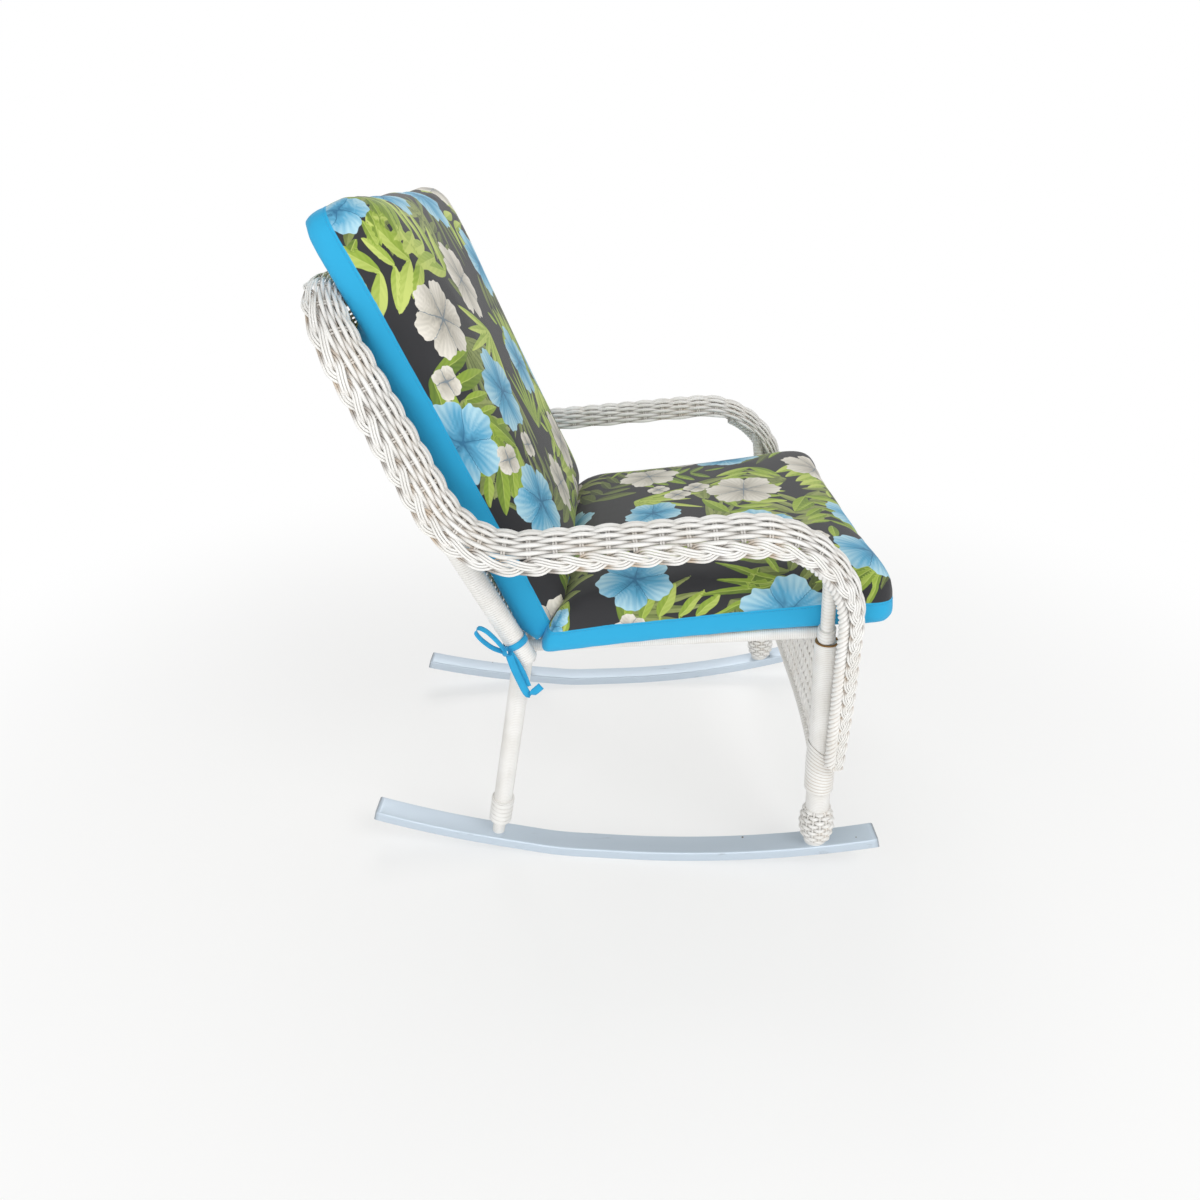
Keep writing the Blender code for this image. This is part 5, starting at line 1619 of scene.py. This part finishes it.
@dataclass
class Pad:
    """One boxed pad: where its under side lies, which way it faces, and how far the fill swells it."""

    node: str
    name: str
    body: Body
    root: ndarray
    along: ndarray
    facing: ndarray
    edge: float
    seed: int
    settle: float = 0.0
    settle_half: float = 0.252
    settle_long: float = 0.510
    settle_bend: float = 0.064
    settle_rim: float = 0.030
    full_end: float = 0.0
    full_long: float = 0.05
    swell: float = 0.009
    swell_aside: float = 0.003
    swell_frames: int = 20
    voxel: float = 0.006
    border: float = 0.031
    gather_deep: float = 0.0017
    gather_long: float = 0.026
    crease_deep: float = 0.0011
    crease_up: float = 0.055
    stitch_rise: float = 27.5
    stitch_lift: float = 0.0002
    stitch_pitch: float = 0.0044
    stitch_long: float = 0.0033
    stitch_thick: float = 0.0009

    def build(self, cotton: Material, thread: Material, garden: Garden) -> None:
        """Remeshes the pad's solid, blows it up, prints it, subdivides it and sews its border on.

        Args:
            cotton: Finish of the pads.
            thread: Finish of the stitches.
            garden: The print.
        """
        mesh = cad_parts[self.node].data.copy()
        obj = link(self.name, mesh)
        shell = bmesh.new()
        shell.from_mesh(mesh)
        bmesh.ops.remove_doubles(shell, verts=shell.verts, dist=1e-5)
        shell.to_mesh(mesh)
        shell.free()
        baked(obj, "REMESH", mode="VOXEL", voxel_size=self.voxel)
        baked(obj, "SMOOTH", factor=0.5, iterations=4)
        rest = read(obj.data.vertices, "co")
        store(obj.data, "rest", rest)
        self.swollen(obj, rest)
        self.pucker(obj, rest)
        self.settled(obj, rest)
        baked(obj, "SUBSURF", levels=1, render_levels=1)
        self.printed(obj.data, garden)
        obj.data.materials.clear()
        obj.data.materials.append(cotton)
        obj.data.shade_smooth()
        dressed(obj, Slot.PRINT, self.node, body=self.body)
        self.stitches(obj.data, thread)

    def height(self, points: ndarray) -> ndarray:
        """Height above the pad's under side."""
        return (points - self.root) @ self.facing

    def swollen(self, obj: Object, rest: ndarray) -> None:
        """Blows the pad up with cloth pressure. Its under side stays, and no point moves further than the swell.

        Args:
            obj: The pad.
            rest: Its points before the fill.
        """
        step = obj.modifiers.new("fill", "CLOTH")
        cloth = step.settings
        cloth.quality = 5
        cloth.mass = 0.3
        cloth.tension_stiffness = cloth.compression_stiffness = 12
        cloth.bending_stiffness = 0.4
        cloth.use_pressure = True
        cloth.uniform_pressure_force = 4
        cloth.effector_weights.gravity = 0
        step.collision_settings.use_collision = False
        step.point_cache.frame_end = self.swell_frames
        scene = bpy.context.scene
        for number in range(1, self.swell_frames + 1):
            scene.frame_set(number)
        made = shaped(obj)
        move = read(made.vertices, "co") - rest
        bpy.data.meshes.remove(made)
        scene.frame_set(1)
        rise = move @ self.facing
        aside = move - np.outer(rise, self.facing)
        far = np.linalg.norm(aside, axis=1)
        aside *= np.minimum(1, self.swell_aside / np.maximum(far, 1e-9))[:, None]
        move = aside + np.outer(np.clip(rise, -0.002, self.swell), self.facing)
        move *= np.clip((self.height(rest) - 0.004) / 0.020, 0, 1)[:, None]
        move_to(obj, rest + move)

    def pucker(self, obj: Object, rest: ndarray) -> None:
        """Draws the seams of the border in and gathers the cloth a little along them.

        Args:
            obj: The pad.
            rest: Its points before the fill.
        """
        normals = read(obj.data.vertices, "normal")
        high = self.height(rest)
        steep = 1 - np.abs(normals @ self.facing)
        run = rest @ self.along * 1.3 + rest[:, 0]
        turn = run * 2 * math.pi
        gather = 0.6 + 0.4 * np.sin(turn / self.gather_long) * np.sin(turn / 0.171 + 1)
        seam = np.exp(-((high - self.border) / 0.0045) ** 2) * gather * self.gather_deep
        crease = self.crease_deep * np.sin(turn / 0.083 + 2 * np.sin(run * 17))
        crease *= np.exp(-((high - self.crease_up) / 0.018) ** 2)
        sunk = (seam + crease) * np.clip(steep * 2 - 0.4, 0, 1)
        move_to(obj, read(obj.data.vertices, "co") - normals * sunk[:, None])

    def settled(self, obj: Object, rest: ndarray) -> None:
        """Presses the under side back between the hoop's legs and fills the far end out between its corners.

        Args:
            obj: The pad.
            rest: Its points before the fill.
        """
        points = read(obj.data.vertices, "co")
        climb, across = (rest - self.root) @ self.along, np.abs(rest[:, 0])
        ends = np.clip((climb - 0.015) / 0.020, 0, 1) * np.clip((self.settle_long + 0.016 - climb) / 0.028, 0, 1)
        past = np.clip(climb - self.settle_long + self.settle_bend, 0, self.settle_bend)
        half = self.settle_half - self.settle_bend + arch(self.settle_bend, past)
        under = np.clip(1 - self.height(rest) / 0.010, 0, 1) * np.clip((half - across) / 0.008, 0, 1)
        points -= np.outer(under * ends * self.settle, self.facing)
        bow = np.cos(np.clip(across / across.max(), 0, 1) * math.pi / 2)
        far = np.clip((climb - climb.max() + self.full_long) / self.full_long, 0, 1) ** 2
        move_to(obj, points + np.outer(bow * far * self.full_end, self.along))

    def printed(self, mesh: Mesh, garden: Garden) -> None:
        """Lays the cloth coordinates over the pad and stores the print on its points.

        Args:
            mesh: The pad's mesh.
            garden: The print.
        """
        rest = read(mesh.attributes["rest"].data, "vector") - self.root
        normals = read(mesh.vertices, "normal")
        plan = np.stack((normals[:, 0], normals @ self.along), axis=1)
        aside = np.linalg.norm(plan, axis=1, keepdims=True)
        plan *= np.clip((aside - 0.15) / 0.35, 0, 1) / np.maximum(aside, 1e-6)
        high = rest @ self.facing
        down = np.clip(self.edge + 0.004 - high, 0, None)
        flat = np.stack((rest[:, 0], rest @ self.along), axis=1) + plan * down[:, None]
        rim = (high < 0.002) & (np.abs(rest[:, 0]) > self.settle_half - self.settle_rim) & (self.settle > 0)
        values = garden.paint(flat * 1000, self.seed)
        values["rise"] = np.where(rim, 2.0, high * 1000)
        values["cloth"] = np.column_stack((flat, np.zeros(len(flat))))
        for key, numbers in values.items():
            store(mesh, key, numbers)
        mesh.attributes.remove(mesh.attributes["rest"])

    def stitches(self, mesh: Mesh, thread: Material) -> None:
        """Sews the border on: a row of thread stitches just inside its edge.

        Args:
            mesh: The pad's mesh.
            thread: Finish of the stitches.
        """
        points = read(mesh.vertices, "co") + read(mesh.vertices, "normal") * self.stitch_lift
        above = read(mesh.attributes["rise"].data, "value", 1) - self.stitch_rise
        near, spots = {}, {}
        for face in mesh.polygons:
            loop = list(face.vertices)
            cuts = [tuple(sorted(pair)) for pair in zip(loop, loop[1:] + loop[:1])
                    if above[pair[0]] * above[pair[1]] < 0]
            if len(cuts) != 2 or max(abs(above[k]) for k in loop) > 8:
                continue
            for cut, other in (cuts, cuts[::-1]):
                near.setdefault(cut, []).append(other)
                share = above[cut[0]] / (above[cut[0]] - above[cut[1]])
                spots[cut] = points[cut[0]] + (points[cut[1]] - points[cut[0]]) * share
        lines, left = Lines(), set(near)
        while left:
            at, path = min(left), []
            while at is not None:
                left.discard(at)
                path.append(spots[at])
                at = next((other for other in near[at] if other in left), None)
            if len(path) > 40:
                lines.add(np.array(path), 0.0, closed=True)
        rows = lines.realised(f"{self.name}_stitches", stitch_tree(), Pitch=self.stitch_pitch, Long=self.stitch_long,
                              Thick=self.stitch_thick, Material=thread)
        dressed(rows, Slot.PLAIN, body=self.body)


@dataclass
class Cushions:
    """Seat pad and back pad, joined along a crease and tied to the hoop."""

    foot_forward: float = -0.1273
    top_forward: float = -0.3497
    top_up: float = 0.860
    seat_edge: float = 0.074
    back_edge: float = 0.076
    tie_rise: float = 0.0295
    tie_width: float = 0.016
    tie_thick: float = 0.0011
    knot_radius: float = 0.0062
    ribbon_cup: float = 0.0012
    # loop, long tail and short tail from the knot: (outward, to the rear, up) points, and the share of the width
    loop: tuple[tuple[float, float, float], ...] = (
        (0, 0.003, 0.002), (0.004, 0.014, 0.021), (0.006, 0.026, 0.036), (0.006, 0.037, 0.042),
        (0.006, 0.043, 0.035), (0.005, 0.035, 0.022), (0.003, 0.020, 0.007), (0, 0.003, -0.001))
    long_tail: tuple[tuple[float, float, float], ...] = (
        (0, -0.002, -0.003), (0.006, -0.008, -0.020), (0.006, -0.016, -0.042), (0.005, -0.023, -0.061),
        (0.005, -0.027, -0.068), (0.006, -0.033, -0.065), (0.003, -0.046, -0.054))
    short_tail: tuple[tuple[float, float, float], ...] = (
        (0, -0.004, -0.003), (0.001, -0.013, -0.018), (0.001, -0.021, -0.036), (0.003, -0.027, -0.055))

    def build(self, cotton: Material, plain: Material, thread: Material, panels: Panels) -> None:
        """Makes both pads and both ties.

        Args:
            cotton: Finish of the pads.
            plain: Finish of the ties.
            thread: Finish of the stitches.
            panels: The fillings, for the deck and the hoop.
        """
        level, raised = panels.deck_axes()
        root = place(1, 0, self.foot_forward, panels.deck_up(self.foot_forward)) + raised * GAP
        lean = unit(place(1, 0, self.top_forward, self.top_up) - root)
        facing = np.array((0, -lean[2], lean[1]))
        for pad in (Pad("seat_cushion", "seat_pad", Body.CHAIR, root, level, raised, self.seat_edge, 41),
                    Pad("back_cushion", "leaning_pad", Body.BACK_PAD, root, lean, facing, self.back_edge, 57,
                        settle=0.011, full_end=0.008)):
            pad.build(cotton, thread, Garden())
        for word, side in SIDES.items():
            self.tie(word, side, plain, panels)

    def tie(self, word: str, side: int, plain: Material, panels: Panels) -> None:
        """One ribbon: a ring round the hoop, a knot, a loop and two tails.

        Args:
            word: left or right.
            side: 1 for left, -1 for right.
            plain: Finish of the ties.
            panels: The fillings, for the deck and the hoop.
        """
        foot, crown = panels.hoop_leg(side)
        along = unit(crown.round(5) - foot)
        middle = foot + along * self.tie_rise / along[2]
        hint = np.array((side * 0.85, 0.52, 0))
        away = unit(hint - along * (hint @ along))
        aside = np.cross(along, away)
        ring = panels.hoop_radius + self.tie_thick
        knot = middle + away * (ring + 0.006)
        strips = [self.strip(middle + circle(32, away, aside) * ring, along, 0.62, closed=True),
                  self.strip(knot + circle(32, away, along) * self.knot_radius, aside, 0.6, closed=True)]
        hanging = np.array((0.1 * side, 0.93, -0.35))
        for points, across, wide in ((self.loop, np.array((0.90 * side, 0.30, -0.32)), 0.5),
                                     (self.long_tail, hanging, 0.68), (self.short_tail, hanging, 0.6)):
            path = even(self.smooth(knot + np.array(points) * (side, 1, 1)), 0.003)
            strips.append(self.strip(path, across, wide))
        shell = bmesh.new()
        for strip in strips:
            shell.from_mesh(strip.data)
            bpy.data.objects.remove(strip)
        area = sum(face.calc_area() for face in shell.faces) / 2
        mesh = bpy.data.meshes.new(f"ribbon_tie_{word}")
        shell.to_mesh(mesh)
        shell.free()
        mesh.materials.append(plain)
        store(mesh, "cloth", read(mesh.vertices, "co"))
        mesh.shade_smooth()
        obj = dressed(link(f"ribbon_tie_{word}", mesh), Slot.PLAIN, f"cushion_tie_{word}")

    def smooth(self, path: ndarray) -> ndarray:
        """A soft curve through a few points.

        Args:
            path: The points.

        Returns:
            The curve.
        """
        fine = np.linspace(0, len(path) - 1, len(path) * 8)
        made = between(fine, np.arange(len(path)), path)
        for _ in range(12):
            made[1:-1] = (made[:-2] + 2 * made[1:-1] + made[2:]) / 4
        return made

    def strip(self, path: ndarray, across: ndarray, wide: float, closed: bool = False) -> Object:
        """A flat ribbon along a path.

        Args:
            path: Points of its middle line.
            across: The direction that its width is nearest to.
            wide: Share of the tie's width that shows, since it is drawn together.
            closed: Joins its ends.

        Returns:
            The ribbon's object.
        """
        ends = (np.roll(path, -1, axis=0) - np.roll(path, 1, axis=0)) if closed else np.gradient(path, axis=0)
        alongs = unit(ends)
        flat = unit(across - alongs * (alongs @ across)[:, None])
        deep = np.cross(alongs, flat)
        loop = np.array(((1, 0.5), (0.5, 1), (0, 1), (-0.5, 1), (-1, 0.5),
                         (-1, -0.5), (-0.5, -1), (0, -1), (0.5, -1), (1, -0.5)))
        cup = self.ribbon_cup * np.sin(np.linspace(0, 9, len(path)))
        lift = self.tie_thick / 2 * loop[:, 1] + np.outer(cup, 1 - loop[:, 0] ** 2)
        reach = self.tie_width / 2 * wide * loop[:, 0]
        rings = path[:, None] + flat[:, None] * reach[:, None] + deep[:, None] * lift[..., None]
        return solid("ribbon_strip", rings, None, closed=closed)


@dataclass(frozen=True)
class Studio:
    """Floor, lights and camera."""

    floor: str = "#f4f4f2"
    floor_radius: float = 9.0
    glow_from: float = 0.4
    glow_to: float = 1.8
    glow_least: float = 0.55
    world_light: float = 0.40
    lens: float = 25.95
    eye: tuple[float, float, float] = (-1.3355, 0.0227, 0.9962)
    look: tuple[float, float, float] = (0.8932, 0.0096, -0.4495)
    # name, place, aim, size in metres and power in watts of each lamp
    lamps: tuple[tuple, ...] = (
        ("key", (-1.9, -1.5, 2.4), (0, 0, 0.4), 1.6, 34),
        ("front", (-2.5, 0.3, 0.8), (0, 0, 0.3), 1.4, 17),
        ("fill", (-1.6, 2.2, 1.5), (0, 0.1, 0.5), 2.0, 9),
        ("rim", (1.8, 0.3, 2.4), (0, 0, 0.5), 1.6, 25))

    def build(self) -> None:
        """Sets the stage."""
        scene = bpy.context.scene
        scene.view_settings.view_transform = "Standard"
        self.ground()
        self.sky(scene)
        for name, spot, aim, size, power in self.lamps:
            lamp = bpy.data.lights.new(name, "AREA")
            lamp.energy, lamp.size = power, size
            link(name, lamp).matrix_world = self.aimed(np.array(spot), unit(np.array(aim) - np.array(spot)))
        camera = bpy.data.cameras.new("camera")
        camera.lens, camera.sensor_width, camera.clip_start = self.lens, 36, 0.01
        scene.camera = link("camera", camera)
        scene.camera.matrix_world = self.aimed(np.array(self.eye) + REAR * SHIFT, unit(np.array(self.look)))

    def aimed(self, spot: ndarray, look: ndarray) -> Matrix:
        """World matrix of a camera or lamp at a spot, looking one way and level.

        Args:
            spot: Where it stands.
            look: Where it looks.

        Returns:
            The matrix.
        """
        right = unit(np.cross(look, UP))
        rows = np.eye(4)
        rows[:3, :3] = np.stack((right, np.cross(right, look), -look), axis=1)
        rows[:3, 3] = spot
        return Matrix(rows.tolist())

    def ground(self) -> None:
        """A wide pale floor that keeps the chair's shadow and gets white further out."""
        made, tree, shader = open_material("matt_white_floor")
        feed(tree, shader, {"Base Color": linear(self.floor), "Roughness": 0.9})
        glow = add_node(tree, "ShaderNodeEmission", {"Color": (1, 1, 1, 1), "Strength": 1.0})
        spot = add_node(tree, "ShaderNodeTexCoord", out="Object")
        far = add_node(tree, "ShaderNodeVectorMath", {0: spot}, out="Value", operation="LENGTH")
        share = add_node(tree, RANGE, {0: far, 1: self.glow_from, 2: self.glow_to, 3: self.glow_least, 4: 1.0},
                         interpolation_type="SMOOTHSTEP")
        mix = add_node(tree, "ShaderNodeMixShader", {0: share, 1: shader.outputs[0], 2: glow})
        feed(tree, tree.nodes["Material Output"], {"Surface": mix})
        disc = circle(96, RIGHT, REAR) * self.floor_radius
        floor = solid("floor", np.array((disc - UP * 0.02, disc - UP * 0.0002)), made)

    def sky(self, scene: bpy.types.Scene) -> None:
        """Near-white for camera, glossy and glass rays, softer as light.

        Args:
            scene: The scene.
        """
        world = bpy.data.worlds.new("studio")
        scene.world = world
        world.use_nodes = True
        tree = world.node_tree
        tree.nodes.clear()
        seen = add_node(tree, "ShaderNodeLightPath", out="Is Camera Ray")
        rays = seen.node.outputs
        for ray in ("Is Transmission Ray", "Is Glossy Ray"):
            seen = add_node(tree, MATH, {0: seen, 1: rays[ray]}, operation="MAXIMUM")
        light, white = (add_node(tree, "ShaderNodeBackground", {"Color": (1, 1, 1, 1), "Strength": strength})
                        for strength in (self.world_light, 1.0))
        mix = add_node(tree, "ShaderNodeMixShader", {0: seen, 1: light, 2: white})
        add_node(tree, "ShaderNodeOutputWorld", {"Surface": mix})


def main() -> None:
    """Builds the chair's looks in order."""
    logging.basicConfig(level=logging.INFO, format="%(message)s")
    Studio().build()
    paint = PaintedRattan().make()
    enamel = RockerPaint().make()
    # name, two tones, grain in metres, metallic and roughness
    plastic, zinc, cane, rust, thread = (Grained(*stuff).make() for stuff in (
        ("grey_polyethylene", "#b4bac0", "#9aa1a8", 0.0009, 0.0, 0.6),
        ("zinc_plated_steel", "#b9bcc0", "#8f9499", 0.0012, 1.0, 0.35),
        ("bare_cane", "#b98d4e", "#6e4a22", 0.0009, 0.0, 0.6),
        ("rusted_iron_wire", "#8a6a52", "#5a4234", 0.0006, 0.6, 0.6),
        ("twisted_polyester_thread", "#3fb6e2", "#1c8fbf", 0.0005, 0.0, 0.6)))
    cotton = PrintedCotton().make()
    plain = PlainCotton().make()
    panels = Panels()
    Rockers().build(enamel, plastic, zinc)
    Poles().build(paint, cane)
    BallFeet().build(paint)
    Border().build(paint)
    panels.build(paint, rust)
    Cushions().build(cotton, plain, thread, panels)


if __name__ == "__main__":
    main()
